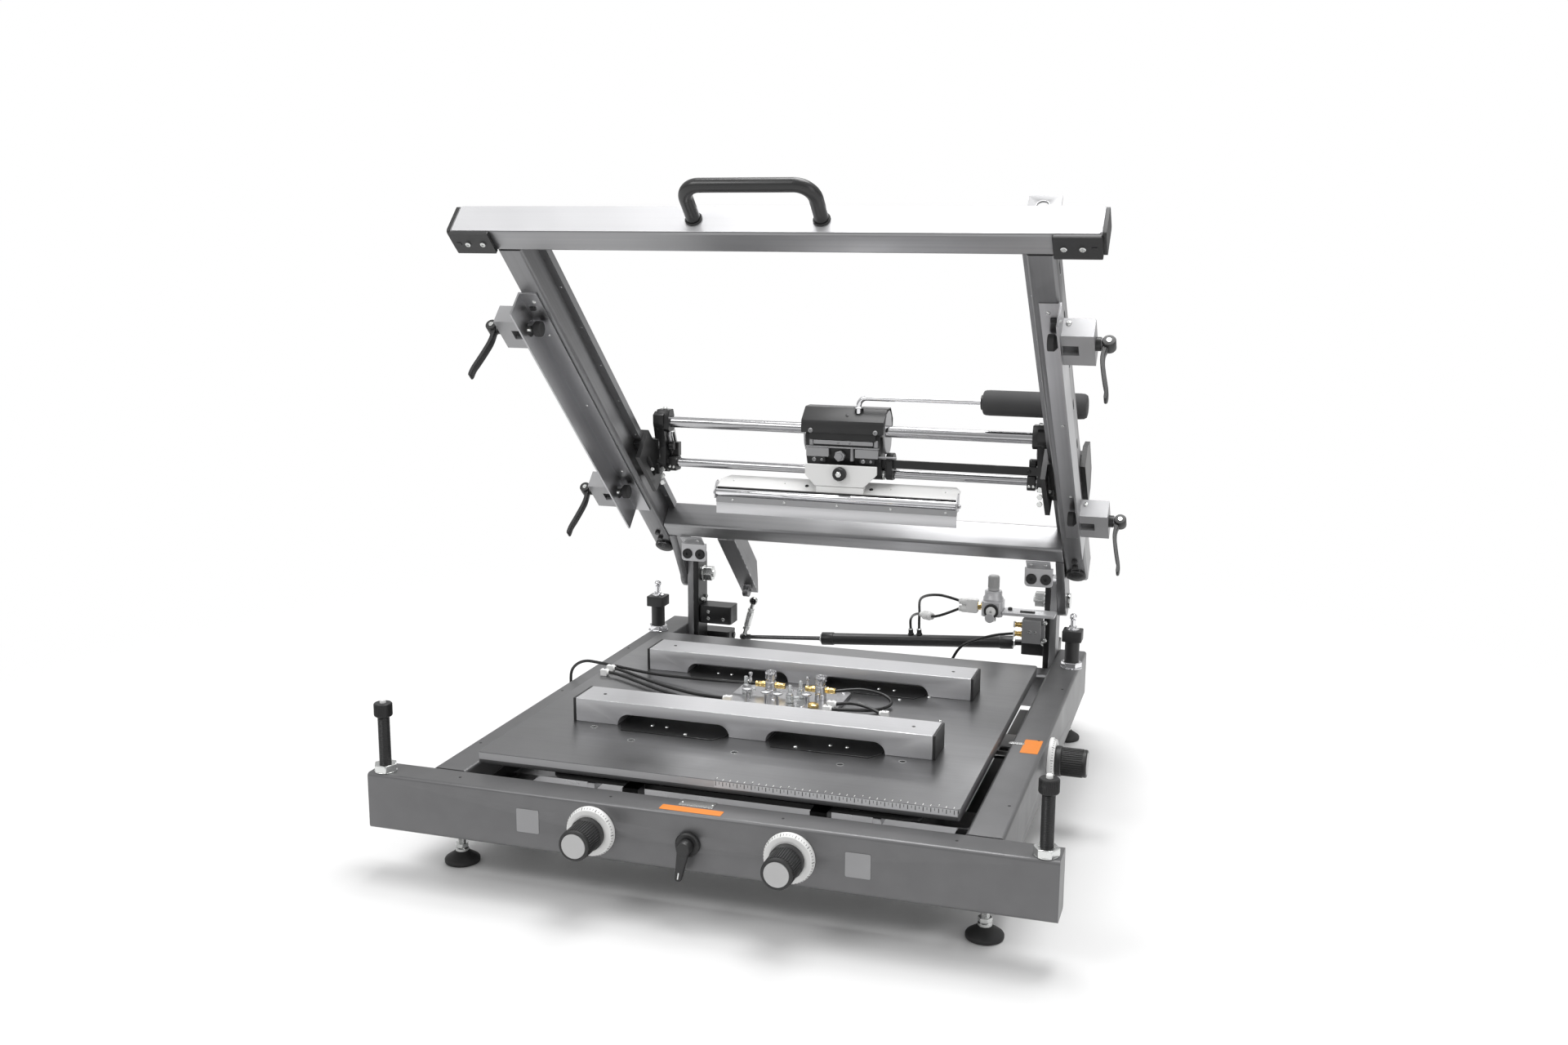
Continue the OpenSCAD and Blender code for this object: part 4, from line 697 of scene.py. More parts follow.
# -------------------- repeats, by geometry nodes
def repeat_tree(name, ring):
    """Copies of one shape in a row, or turned round a circle, as real faces with one finish."""
    tree = bpy.data.node_groups.new(name, "GeometryNodeTree")
    sockets = [("Geometry", "Geometry"), ("Shape", "Object"), ("Count", "Int"), ("Finish", "Material")]
    sockets += [("Radius", "Float")] if ring else [("Step", "Vector")]
    for label, kind in sockets:
        tree.interface.new_socket(label, in_out="INPUT", socket_type="NodeSocket" + kind)
    tree.interface.new_socket("Geometry", in_out="OUTPUT", socket_type="NodeSocketGeometry")
    given = tree.nodes.new("NodeGroupInput").outputs
    shape = make(tree, "GeometryNodeObjectInfo", {"Object": given["Shape"]}, transform_space="ORIGINAL")
    if ring:
        places = make(tree, "GeometryNodeMeshCircle", {"Vertices": given["Count"], "Radius": given["Radius"]})
        share = make(tree, "ShaderNodeMath", {0: tree.nodes.new("GeometryNodeInputIndex").outputs[0],
                                              1: given["Count"]}, operation="DIVIDE")
        angle = make(tree, "ShaderNodeMath", {0: share.outputs[0], 1: 2 * math.pi}, operation="MULTIPLY")
        turned = make(tree, "ShaderNodeCombineXYZ", {"Z": angle.outputs[0]}).outputs[0]
        put_on = {"Points": places.outputs[0], "Instance": shape.outputs["Geometry"], "Rotation": turned}
    else:
        places = make(tree, "GeometryNodeMeshLine", {"Count": given["Count"], "Offset": given["Step"]}, mode="OFFSET")
        put_on = {"Points": places.outputs[0], "Instance": shape.outputs["Geometry"]}
    copies = make(tree, "GeometryNodeInstanceOnPoints", put_on)
    real = make(tree, "GeometryNodeRealizeInstances", {0: copies.outputs[0]})
    coated = make(tree, "GeometryNodeSetMaterial", {"Geometry": real.outputs[0], "Material": given["Finish"]})
    out = tree.nodes.new("NodeGroupOutput")
    tree.links.new(coated.outputs[0], out.inputs[0])
    return tree


ROW = repeat_tree("Row of shapes", False)
RING = repeat_tree("Ring of shapes", True)


def repeated(tree, shape, material, **values):
    """The repeat of a Solid, evaluated and read back as a Solid."""
    scene = bpy.context.scene.collection.objects
    one = bpy.data.objects.new("one_shape", shape.mesh("one_shape", HERE))
    host = bpy.data.objects.new("repeat_host", bpy.data.meshes.new("repeat_host"))
    scene.link(one)
    scene.link(host)
    modifier = host.modifiers.new("repeat", "NODES")
    modifier.node_group = tree
    settings = {"Shape": one, "Finish": material, **values}
    for item in tree.interface.items_tree:
        if item.in_out == "INPUT" and item.name in settings:
            modifier[item.identifier] = settings[item.name]
    bpy.context.view_layer.update()
    made = bpy.data.meshes.new_from_object(host.evaluated_get(bpy.context.evaluated_depsgraph_get()))
    host.modifiers.clear()
    edge = made.attributes.get("edge")
    worn = [e.value for e in edge.data] if edge and edge.domain == "FACE" else [0.0] * len(made.polygons)
    whole = Solid([v.co.copy() for v in made.vertices], [list(p.vertices) for p in made.polygons],
                  [p.use_smooth for p in made.polygons], [w > 0.5 for w in worn])
    for extra in (host, one):
        bpy.data.objects.remove(extra)
    return whole


def row(shape, count, step, material=None):
    return repeated(ROW, shape, material or ZINC, Count=count, Step=step)


def ring(shape, count, radius, material=None):
    return repeated(RING, shape, material or ZINC, Count=count, Radius=float(radius))


FRONTWARD = turn(90, "X")
RIGHTWARD = turn(90, "Y")
LEFTWARD = turn(-90, "Y")
BACKWARD = turn(-90, "X")
MIRROR = Matrix.Scale(-1, 4, (1, 0, 0))
SIDES = (HERE, MIRROR)
CORNERS = (("fl", -1), ("fr", 1), ("rl", -1), ("rr", 1))


# -------------------- adjusters, dials and the table lock
KNOB_OUT, DIAL_R, DIAL_T = 57.0, 34.0, 10.0


def dial_pieces(name, place, extra):
    """A white graduated ring: one longer tick in every five."""
    rim = lathe([(6.2, 0), (DIAL_R - 0.6, 0), (DIAL_R, 0.6), (DIAL_R, 5.0), (31.4, DIAL_T - 0.3), (31.0, DIAL_T),
                 (24.5, DIAL_T), (24.5, DIAL_T - 0.6), (6.2, DIAL_T - 0.6)], 64)
    slope = math.degrees(math.atan2(DIAL_T - 5.0, DIAL_R - 31.4))
    for count, length, wide in ((50, 2.6, 0.45), (10, 4.6, 0.7)):
        tick = box(length, wide, 0.25, 0.0).at(turn(slope, "Y"))
        extra.add(ring(tick, count, 32.8), place @ move(0, 0, 7.45))
    return rim.at(place)


def knob_pieces(name, body, place, reach):
    """A knob: its core, its ribs, a pale cap in a black rim, and the spindle behind it."""
    base = DIAL_T + 0.3
    core = lathe([(7, base), (22.2, base), (22.8, base + 0.6), (22.8, base + 7.5), (22.0, base + 8.5),
                  (20.4, base + 9.5), (20.4, 50.5), (20.8, 51.5), (20.8, 55.2), (19.6, KNOB_OUT - 0.4),
                  (17.2, KNOB_OUT - 0.4), (16.9, KNOB_OUT - 1.6), (0, KNOB_OUT - 1.6)], 64)
    rib = prism([(-0.6, -0.95), (0.35, -0.95), (0.9, -0.45), (0.9, 0.45), (0.35, 0.95), (-0.6, 0.95)], 31.0, 0.25)
    core.add(ring(rib, 40, 20.5), move(0, 0, base + 9.0))
    build(name + "_grip", core, place, body, BLACK_PLASTIC, [name])
    cap = lathe([(16.7, KNOB_OUT - 1.8), (16.7, KNOB_OUT - 0.5), (16.2, KNOB_OUT), (0, KNOB_OUT)], 48)
    build(name + "_cap", cap, place, body, CAP_GREY, [name])
    build(name + "_spindle", rod(6.0, reach + base + 4).at(move(0, 0, -reach)), place, body, ZINC, [name])


marks = Solid()
rings = Solid()
for name in ("knob_y_left", "knob_y_right", "knob_x"):
    place = joint_at(name + "_turn")
    if name == "knob_x":
        face = Matrix.Translation((RAIL_OUT * MM, place.translation.y, place.translation.z)) @ RIGHTWARD @ SCALE
        reach = RAIL_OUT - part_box(name)[0].x / MM
    else:
        face = Matrix.Translation((place.translation.x, beam_low.y, place.translation.z)) @ FRONTWARD @ SCALE
        reach = (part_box(name)[1].y - beam_low.y) / MM
    knob_pieces(name, name, face, reach)
    rings.add(dial_pieces(name, face, marks))
build("dial_rings", rings, HERE, "base", WHITE_PLASTIC, ["dials"])
build("dial_ticks", marks, HERE, "base", INK_AND_SHADE_BLACK)

lock = joint_at("table_lock").translation
LOCK = Matrix.Translation((lock.x, beam_low.y, lock.z)) @ FRONTWARD @ SCALE
build("lock_rosette_ring", pipe(16.5, 8.4, 7.8, 1.6), LOCK, "base", BLACK_PLASTIC, ["lock_rosette"])
hub = lathe([(8.2, 3.4), (8.2, 8.2), (9.3, 8.2), (9.9, 9.0), (9.9, 20.5), (8.6, 22.6), (5.0, 23.0), (0, 23.0)], 40)
arm = prism([*arc(0, 0, 8.2, 0, 180, 10), *arc(0, -41.5, 4.6, 180, 360, 8)], 8.2, 1.6, segments=3)
hub.add(arm, turn(-10, "Z") @ move(0, 0, 13.5))
build("lock_lever_grip", hub, LOCK, "lock_lever", BLACK_PLASTIC, ["lock_lever"])
build("lock_lever_mark", box(1.6, 9.0, 0.4, 0.1).at(turn(-10, "Z"), move(0, -37.5, 21.6)), LOCK, "lock_lever",
      WHITE_PLASTIC)


# -------------------- stop posts
FRONT_POST_H, POST_DIA, POST_NUT_SHARE, REAR_POST_X = 103.0, 17, 1.7, RAIL_IN + 0.72 * BEAM_D
front_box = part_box("front_posts")
rear_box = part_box("rear_posts")
post_x = front_box[1].x / MM - POST_NUT_SHARE * POST_DIA / 2 / math.cos(math.radians(30))
rear_y = (rear_box[0].y + rear_box[1].y) / 2
black, bright, tips = solids(3)
cap = lathe([(0, 0), (11.6, 0), (12.3, 0.7), (12.3, 17.6), (11.4, 18.5), (0, 18.5)], 48)
cap.add(ring(prism([(-0.5, -0.6), (0.45, -0.3), (0.45, 0.3), (-0.5, 0.6)], 15.5, 0.12), 44, 12.3), move(0, 0, 1.5))
for side in (-1, 1):
    foot = BASE @ move(side * post_x, BEAM_D / 3, 0)
    bright.add(hexagon(28.9, 11, 1.0), foot)
    bright.add(pipe(15.6, 8.6, 1.2), foot)
    black.add(thread(8.5, 0.7, 2.0, 70.0).at(move(0, 0, 10.5)), foot)
    black.add(cap, foot @ move(0, 0, 79.4))
    tips.add(lathe([(4.2, 97.8), (4.2, 101.6), (3.2, 102.9), (0, FRONT_POST_H)], 32), foot)
build("front_post_columns", black, HERE, "base", BLACK_ANODISED_AND_SHADE, ["front_posts"])
build("front_post_nuts", bright, HERE, "base", ZINC, ["front_posts"])
build("front_post_tips", tips, HERE, "base", WHITE_PLASTIC, ["front_posts"])
black, bright = solids(2)
for side in (-1, 1):
    foot = Matrix.Translation((side * REAR_POST_X * MM, rear_y, beam_high.z)) @ SCALE
    bright.add(pipe(18.6, 12.6, 1.4), foot)
    bright.add(hexagon(31.2, 9.4, 1.0).at(move(0, 0, 1.4)), foot)
    black.add(lathe([(0, 10.4), (12.5, 10.4), (12.5, 47.6), (0, 47.6)], 40), foot)
    black.add(prism(round_box(33.5, 33.5, 3.0), 19.0, 1.4), foot @ move(0, 0, 48.0))
    bright.add(lathe([(0, 67), (11.2, 67), (11.2, 68.6), (7.4, 70.6), (6.8, 73.4), (4.5, 74.4), (4.5, 84.5),
                      (0, 84.5)], 36), foot)
    bright.add(ball(6.25).at(move(0, 0, 89.7)), foot)
build("rear_post_bodies", black, HERE, "base", BLACK_PLASTIC, ["rear_posts"])
build("rear_post_fittings", bright, HERE, "base", CHROME, ["rear_posts"])

# -------------------- feet
black, bright = solids(2)
PAD_R = 25
foot_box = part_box("feet")
foot_far = (foot_box[1].x - foot_box[0].x) / 2 - PAD_R * MM
for x in (-foot_far, foot_far):
    for y in (foot_box[0].y + PAD_R * MM, foot_box[1].y - PAD_R * MM):
        stand = Matrix.Translation((x, y, 0)) @ SCALE
        black.add(lathe([(0, 0), (23.0, 0), (24.6, 0.8), (25.0, 2.4), (25.0, 5.4), (24.0, 7.0), (19.5, 10.2),
                         (14.5, 13.2), (11.6, 15.6), (10.4, 17.2), (0, 17.2)], 48), stand)
        bright.add(lathe([(0, 16.4), (8.6, 16.4), (9.6, 17.4), (9.6, 21.0), (7.4, 23.0), (0, 23.0)], 36), stand)
        bright.add(hexagon(17.0, 6.0, 0.7).at(move(0, 0, 22.6)), stand)
        bright.add(thread(6.0, 0.5, 1.75, 34.5).at(move(0, 0, 28.0)), stand)
        bright.add(hexagon(24.0, 9.6, 0.9).at(move(0, 0, 57.2)), stand)
build("feet_pads", black, HERE, "base", RUBBER, ["feet"])
build("feet_spindles", bright, HERE, "base", ZINC, ["feet"])

# -------------------- rear columns: a bright plate outside, a black one inside
bright, black, screws = solids(3)
side_view = [(0, 0), (48, 0), *arc(36, 208, 12, 0, 90, 6), *arc(12, 208, 12, 90, 180, 6)]
column_y = (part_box("columns")[0].y - beam_low.y) / MM
ALONG_X = Matrix(((0, 0, 1, 0), (1, 0, 0, 0), (0, 1, 0, 0), (0, 0, 0, 1)))
for side in SIDES:
    stand = BASE @ side @ move(RAIL_IN, column_y, -BEAM_H) @ ALONG_X
    bright.add(prism(side_view, 11.8, 0.6), stand @ move(0, 0, -12.0))
    black.add(prism(side_view, 9.8, 0.6), stand @ move(0, 0, -22.0))
    for u, v in ((12, 98), (36, 98), (12, 128), (36, 128)):
        screws.add(cap_screw(4.2), stand @ move(u, v, -22.0) @ turn(180, "X"))
build("column_outer_plates", bright, HERE, "base", BLOCK_ALLOY, ["columns"])
build("column_inner_plates", black, HERE, "base", BLACK_ANODISED_AND_SHADE, ["columns"])
build("column_screws", screws, HERE, "base", ZINC)

# -------------------- head: cover, bearing block, handle
ROD_GAP, LOW_BACK, ROD_R, LOW_R = 73.0, 11.0, 10.0, 8.0
COVER_W, CORE_W, JAW_Z, PLATE_TOP, PLATE_W, PLATE_H = 144.0, 138.0, -29.0, -57.0, 126.0, 37.0
HOLDER_Y, HOLDER_Z, PIVOT_Z = -31.3, -106.0, -71.0


def across(x):
    """Sections drawn in (y, z) and run along X from here."""
    return HEAD @ move(x, 0, 0) @ ALONG_X


def facing(x, y, z):
    """Outlines drawn in (x, z) whose thickness comes towards the operator."""
    return HEAD @ move(x, y, z) @ FRONTWARD


rod_hole = circle(ROD_R + 0.3, 36)
low_hole = circle(LOW_R + 0.3, 32, LOW_BACK, -ROD_GAP)
bar_hole = [(-3.4, -62.4), (3.4, -62.4), (3.4, -47.6), (-3.4, -47.6)]
skin = [(-26, -4), (-26, 10), (-24.6, 17.2), (-2, 36.6), (1.5, 38), (25.2, 38), (27, 37.2), (42, 18), (42, -4),
        (40, -4), (40, 17.2), (25.6, 35.6), (24.8, 36), (1.9, 36), (-1, 34.9), (-22.8, 16.2), (-24, 9.8), (-24, -4)]
build("cover_sheet", prism(skin, COVER_W, 0.5), across(-COVER_W / 2), "head", COVER_GREY,
      ["head_cover"])
build("cover_plug", lathe([(2.9, 0), (2.9, 0.5), (2.2, 0.9), (0, 0.9)], 24), HEAD @ move(6, -14.2, 26.2)
      @ turn(40, "X"), "head", BLACK_PLASTIC)
cheek = [(-13, -6), (-11, 12), (-1, 29), (10, 34), (22, 34), (33, 24), (38.5, 8), (39.5, -12), (36, -28), (28, -38),
         (14, -41), (0, -38), (-9, -26)]
cheeks = Solid()
for x in (-COVER_W / 2 + 0.6, COVER_W / 2 - 4.1):
    cheeks.add(prism(cheek, 3.5, 0.6, [rod_hole]), across(x))
build("cover_cheeks", cheeks, HERE, "head", BLANK_PLATE, ["head_cover"])

core = prism([(-16, -46), (-19, -30), (-20, -5), (-14, 6), (-12, 13), (0, 17), (12, 13), (39, 1), (39, -28),
              (22.5, -32), (23, -76), (18, -82), (11, -85), (3, -82), (-4, -76), (-10, -60)], CORE_W - 8, 0.8,
             [rod_hole, low_hole, bar_hole])
build("bearing_core", core, across(-CORE_W / 2 + 4), "head", BLACK_ANODISED_AND_SHADE, ["head_body"])
bushes = Solid()
for x in (-CORE_W / 2, CORE_W / 2 - 4.2):
    bushes.add(pipe(14.5, ROD_R + 0.3, 4.2, 0.5), across(x))
    bushes.add(pipe(11.5, LOW_R + 0.3, 4.2, 0.5), across(x) @ move(LOW_BACK, -ROD_GAP, 0))
jaws, dark = solids(2)
for x in (-43, 43):
    jaws.add(prism(round_box(40, 15.5, 1.6), 22, 0.9), facing(x, -2.4, JAW_Z - 8))
    dark.add(prism(round_box(26, 8, 2), 3, 0.6), facing(x + 1, -20.6, JAW_Z - 20.5))
    jaws.add(cap_screw(3.4), facing(x - 5, -23.4, JAW_Z - 20.5))
    jaws.add(cap_screw(2.2), facing(x + 8, -23.4, JAW_Z - 20.5))
jaws.add(box(127, 25, 2.4, 0.5), HEAD @ move(0.5, -13.2, JAW_Z + 0.1))
jaws.add(prism(round_box(104, 7, 1), 3, 0.6), facing(1.5, -20.0, JAW_Z + 9))
for x in (-55, 58):
    jaws.add(rod(4.6, 12.5, 0.8, 28), HEAD @ move(x, -17.5, JAW_Z + 2.5))
    jaws.add(pan_screw(4.3), facing(x, -25.9, -0.2))
for x in (-7, 13):
    jaws.add(pan_screw(2.2), facing(x, -23.0, JAW_Z + 9))
jaws.add(hexagon(17, 9, 1.0), facing(-4, -16.4, JAW_Z - 13.5) @ turn(15, "Z"))
jaws.add(lathe([(5.6, 9), (5.2, 11.5), (0, 11.9)], 28), facing(-4, -16.4, JAW_Z - 13.5))
jaws.add(rod(3.4, 22, 0.6, 24), HEAD @ move(16.5, -18, JAW_Z - 22))
jaws.add(rod(1.7, 34, 0.3, 18), HEAD @ move(60, -19, JAW_Z - 13) @ RIGHTWARD)
build("bearing_bushes", bushes, HERE, "head", ZINC, ["head_body"])
build("clamp_jaws", jaws, HERE, "head", BLOCK_ALLOY, ["head_body"])
lug = prism(round_box(31, 46, 12, 6.5, -60), 12, 1.2, [low_hole, bar_hole])
dark.add(lug, across(72.4))
dark.add(pan_screw(4), facing(78.4, -9.0, -46))
dark.add(box(116, 3, 12, 0.5), HEAD @ move(0, -21.4, JAW_Z + 13))
pivot = lathe([(8.6, 0), (8.6, 8.5), (7.6, 9.5), (4.8, 9.5), (4.8, 15.4), (0, 15.4)], 32)
dark.add(pivot, facing(0, -16.4, PIVOT_Z))
build("head_black_parts", dark, HERE, "head", BLACK_ANODISED_AND_SHADE, ["head_body"])

GRIP_X, GRIP_Y, GRIP_Z, GRIP_FROM, GRIP_TO = 24.0, -6.0, 56.0, 235.0, 405.0
stem = sweep(round_path([(GRIP_X, GRIP_Y, 16), (GRIP_X, GRIP_Y, GRIP_Z), (GRIP_TO - 85, GRIP_Y, GRIP_Z)], 14), 4.5,
             28)
stem.add(pipe(8.2, 4.5, 2.6, 0.4), move(GRIP_X, GRIP_Y, 38.0))
build("head_handle_rod", stem, HEAD, "head", CHROME, ["head_handle"])
ALONG_GRIP = HEAD @ move(GRIP_FROM, GRIP_Y, GRIP_Z) @ RIGHTWARD
length = GRIP_TO - GRIP_FROM
foam = lathe([(4.6, 0.8), (16.5, 0.8), (19.4, 2.2), (20.6, 5.5), (21, 12), (21, length - 12), (20.4, length - 5),
              (18, length - 1), (14.5, length), (4, length - 0.6), (0, length - 0.8)], 64)
build("head_grip_foam", foam, ALONG_GRIP, "head", FOAM, ["head_grip"])
build("head_grip_collar", pipe(12.5, 4.7, 3.2, 0.6), ALONG_GRIP @ move(0, 0, -2.6), "head", BLACK_PLASTIC)

# -------------------- squeegee: plate, knob, sheet, holder, blade
plate = [(s * PLATE_W, PLATE_TOP + t * PLATE_H) for s, t in ((-0.5, 0), (0.5, 0), (0.5, -0.38), (0.32, -1),
                                                             (-0.36, -1), (-0.5, -0.5))]
mount = prism(plate, 5, 0.9, [circle(5.3, 28, 0, PIVOT_Z)]).at(move(0, -26.3, 0), FRONTWARD)
foot = [(HOLDER_Y, -94.6), (-26.4, -94.6), (-26.4, -91.5), (-16.3, -91.5), (-16.3, -99.8), (HOLDER_Y, -106)]
mount.add(prism(foot, 83.2, 0.5), move(-42.8, 0, 0) @ ALONG_X)
build("squeegee_plate", mount, HEAD, "squeegee", WHITE_PAINT, ["squeegee_mount"])

KNOB = facing(0, HOLDER_Y - 0.3, PIVOT_Z)
grip = lathe([(9.2, 0), (10.6, 0.6), (10.8, 1.4), (10.8, 10.8), (9.8, 12), (6.4, 12), (6.0, 11), (0, 11)], 48)
grip.add(ring(prism([(-0.5, -0.62), (0.5, -0.4), (0.9, 0), (0.5, 0.4), (-0.5, 0.62)], 9.6, 0.15), 36, 10.9),
         move(0, 0, 1.2))
build("squeegee_knob_grip", grip, KNOB, "squeegee_knob", BLACK_PLASTIC, ["squeegee_knob"])
nut = hexagon(9.4, 3.4, 0.6).at(move(0, 0, 10.4))
nut.add(rod(2.4, 15, 0.4, 24))
nut.add(lathe([(5, -13.5), (5, 0.8), (0, 0.8)], 28))
build("squeegee_knob_screw", nut, KNOB, "squeegee_knob", ZINC, ["squeegee_knob"])

SQUEEGEE_X, SQUEEGEE_L, SHEET_RISE, SHEET_DEEP, SHEET_T = -223.0, 424.0, 16.0, 38.0, 2.5
tilt = math.degrees(math.atan2(SHEET_RISE, SHEET_DEEP))
slope_l = math.hypot(SHEET_RISE, SHEET_DEEP)
SHEET = HEAD @ move(SQUEEGEE_X, HOLDER_Y, HOLDER_Z) @ turn(tilt, "X")
holes = [circle(1.5, 14, 24 + 94 * k, 0.56 * slope_l) for k in range(5)]
sheet = [(0, 0.6), (SQUEEGEE_L, 0.6), (SQUEEGEE_L, slope_l - 9), (SQUEEGEE_L - 9, slope_l), (14, slope_l),
         (0, slope_l - 14)]
build("squeegee_sheet", prism(sheet, SHEET_T, 0.5, holes).at(move(0, 0, -SHEET_T)), SHEET, "squeegee", WHITE_PAINT,
      ["squeegee_holder"])
black = Solid()
for x in (159, 273):
    black.add(pan_screw(3.4), SHEET @ move(x, 0.45 * slope_l, 0))
# a thin black strip between the sheet and the fold: painted shade of the groove there
black.add(prism([(-34.2, -106.7), (-28, -106.7), (-28, -105), (-33.6, -105)], SQUEEGEE_L - 4, 0.2),
          across(SQUEEGEE_X + 2))
build("sheet_screws", black, HERE, "squeegee", BLACK_ANODISED_AND_SHADE)
fold = [*arc(-31.0, -114.2, 7.2, 268, 92, 18), (-25.6, -107), (-25.6, -121.4)]
build("squeegee_fold", prism(fold[::-1], SQUEEGEE_L - 2, 0.3), across(SQUEEGEE_X + 1), "squeegee", CHROME,
      ["squeegee_holder"])
ends = Solid()
end = [(-38.2, -125), (-38.2, -111), (-29, -97), (-22, -95), (-19, -98), (-22, -125)]
for x in (SQUEEGEE_X - 2, SQUEEGEE_X + SQUEEGEE_L - 0.5):
    ends.add(prism(end, 2.5, 0.4), across(x))
ends.add(cap_screw(3.2), HEAD @ move(SQUEEGEE_X + SQUEEGEE_L + 2, -29, -116) @ RIGHTWARD)
ends.add(cap_screw(3.2), HEAD @ move(SQUEEGEE_X - 2, -29, -116) @ LEFTWARD)
build("squeegee_ends", ends, HERE, "squeegee", BRUSHED_STEEL, ["squeegee_holder"])
strip = prism([(-34, -132), (-28.6, -132), (-28.6, -121.6), (-34, -121.6)], SQUEEGEE_L, 0.4)
build("blade_strip", strip, across(SQUEEGEE_X), "squeegee", BLANK_PLATE, ["squeegee_blade"])
blade = prism([(-32.4, -150), (-31.9, -152), (-30.9, -152), (-30.3, -150), (-30.3, -131), (-32.4, -131)], SQUEEGEE_L,
              0.15)
build("blade_sheet", blade, across(SQUEEGEE_X), "squeegee", BLADE_STEEL, ["squeegee_blade"])
strip_screws = row(pan_screw(2.6).at(FRONTWARD), 5, (93.7, 0, 0))
build("blade_screws", strip_screws, HEAD @ move(SQUEEGEE_X + 31, -34, -126.8), "squeegee", ZINC)

# -------------------- valve and pin cluster between the bars
CLUSTER_W, CLUSTER_L, CLUSTER_Y, CLUSTER_T, PORT_Z, FIT_Z = 176.0, 150.0, 264.0, 6.0, 21.0, 6.0


def on_plate(across_share, back_share, z=CLUSTER_T):
    return TABLE @ move(across_share * CLUSTER_W, CLUSTER_Y + back_share * CLUSTER_L, z)


screw_shares = [(sx * 0.44, sy) for sx in (-1, 1) for sy in (0.07, 0.93)] + [(-0.1, 0.5), (0.2, 0.36)]
holes = [circle(2.2, 14, sx * CLUSTER_W, CLUSTER_Y + sy * CLUSTER_L) for sx,
         sy in ((-0.3, 0.42), (0.38, 0.5), (-0.02, 0.86), (0.44, 0.3))]
base_plate = prism(round_box(CLUSTER_W, CLUSTER_L, 6, 0, CLUSTER_Y + CLUSTER_L / 2), CLUSTER_T, 0.7, holes)
build("cluster_plate", base_plate, TABLE, "table", BRUSHED_STEEL, ["manifold"])
chrome, gold, glass, pale = solids(4)
for share in screw_shares:
    chrome.add(pan_screw(3.6), on_plate(*share))
fork = [*arc(0, 0, 9, 22, 158, 12), *arc(0, 0, 6.6, 158, 22, 12)]
turned = lathe([(8.6, 0), (9, 0.5), (9, 8.4), (8.2, 9), (8.2, 10.6), (9, 11.2), (9, 20.4), (8.4, 21), (6.7, 21),
                (6.7, 25.4), (8.7, 25.4), (9, 25.8), (9, 29.4), (6.6, 29.4), (6.6, 27.6), (0, 27.6)], 48)
for way in (0, 180):
    turned.add(prism(fork, 11.4, 0.4), turn(way, "Z") @ move(0, 0, 25.6))
elbow = lathe([(3.4, 7), (4.5, 7.4), (4.5, 12), (3.9, 12.6), (3.9, 13.4), (4.5, 14), (4.5, 20), (4.1, 20.6),
               (4.1, 21.2), (4.5, 21.8), (4.5, 23.6), (3.9, 24), (2.7, 24)], 28)
for share in ((-0.17, 0.67), (0.29, 0.67)):
    chrome.add(turned, on_plate(*share))
    chrome.add(rod(2.5, 7, 0.4, 20), on_plate(*share) @ move(0, -8.5, 14) @ FRONTWARD)
    for way in (RIGHTWARD, LEFTWARD):
        gold.add(elbow, on_plate(*share) @ move(0, 0, PORT_Z - CLUSTER_T) @ way)
        gold.add(hexagon(9.4, 4.2, 0.5), on_plate(*share) @ move(0, 0, PORT_Z - CLUSTER_T) @ way @ move(0, 0, 9.4))
gold.add(lathe([(7.6, 0), (8.6, 0.6), (8.6, 4.2), (7.2, 5.4), (5.4, 5.8), (0, 5.8)], 32), on_plate(0.29, 0.4))
gold.add(box(24, 7, 3, 0.5), on_plate(-0.43, 0.2))
thumb = lathe([(4, 0), (4, 3), (3.2, 3.6), (2.6, 4), (2.6, 23.5), (3.4, 24.6), (7.2, 25.2), (8, 25.8), (8, 27),
               (7.4, 27.6), (0, 27.8)], 36)
for share in ((-0.26, 0.23), (-0.08, 0.19), (0.03, 0.17), (0.27, 0.24)):
    chrome.add(thumb, on_plate(*share))
for x, y in ((-0.36, 0.68), (0.16, 0.72)):
    chrome.add(lathe([(2.6, 0), (2.6, 22), (2.0, 23), (2.0, 27), (3.4, 28.4), (3.4, 30.6), (2.2, 32), (0, 32)], 24),
               on_plate(x, y))
clear = lathe([(6, 0), (6.3, 0.4), (6.3, 11.6), (5.2, 12.6), (4.4, 12.6), (4.4, 15.6), (3.2, 16.4), (3.2, 26.6),
               (2.4, 28.6), (0, 28.8)], 32)
for share in ((0.07, 0.44), (0.12, 0.62), (-0.38, 0.6)):
    glass.add(clear, on_plate(*share))
    glass.add(rod(3.1, 15, 0.5, 24), on_plate(*share) @ move(0, 2, 8.5) @ RIGHTWARD)
    chrome.add(pipe(5.2, 2.4, 2.0, 0.3, 28), on_plate(*share) @ move(0, 0, 13.2))
for x, y, z, way in ((-78, 274, CLUSTER_T, -1), (-78, 304, CLUSTER_T, -1), (78, 304, CLUSTER_T, 1),
                     (78, 329, CLUSTER_T, 1), (163.2, 324, 0, -1), (-325, 392.08, 0, 1), (-325, 417.08, 0, 1)):
    seat = TABLE @ move(x, y, z)
    pale.add(box(11.4, 9.6, 10.6, 0.9), seat)
    pale.add(pipe(4.4, 2.6, 3.4, 0.5, 28), seat @ move(way * 5.2, 0, FIT_Z) @ (RIGHTWARD if way > 0 else LEFTWARD))
    chrome.add(pan_screw(2.2), seat @ move(0, 0, 10.6))
PLUG = TABLE @ move(-416, 456, -75) @ turn(180, "X")
plug = lathe([(2.6, 0), (4.4, 0), (5, 0.8), (5, 7.6), (4.4, 8.2), (4.4, 17.6), (5, 18.4), (5, 32), (4.2, 33.4),
              (0, 34)], 32)
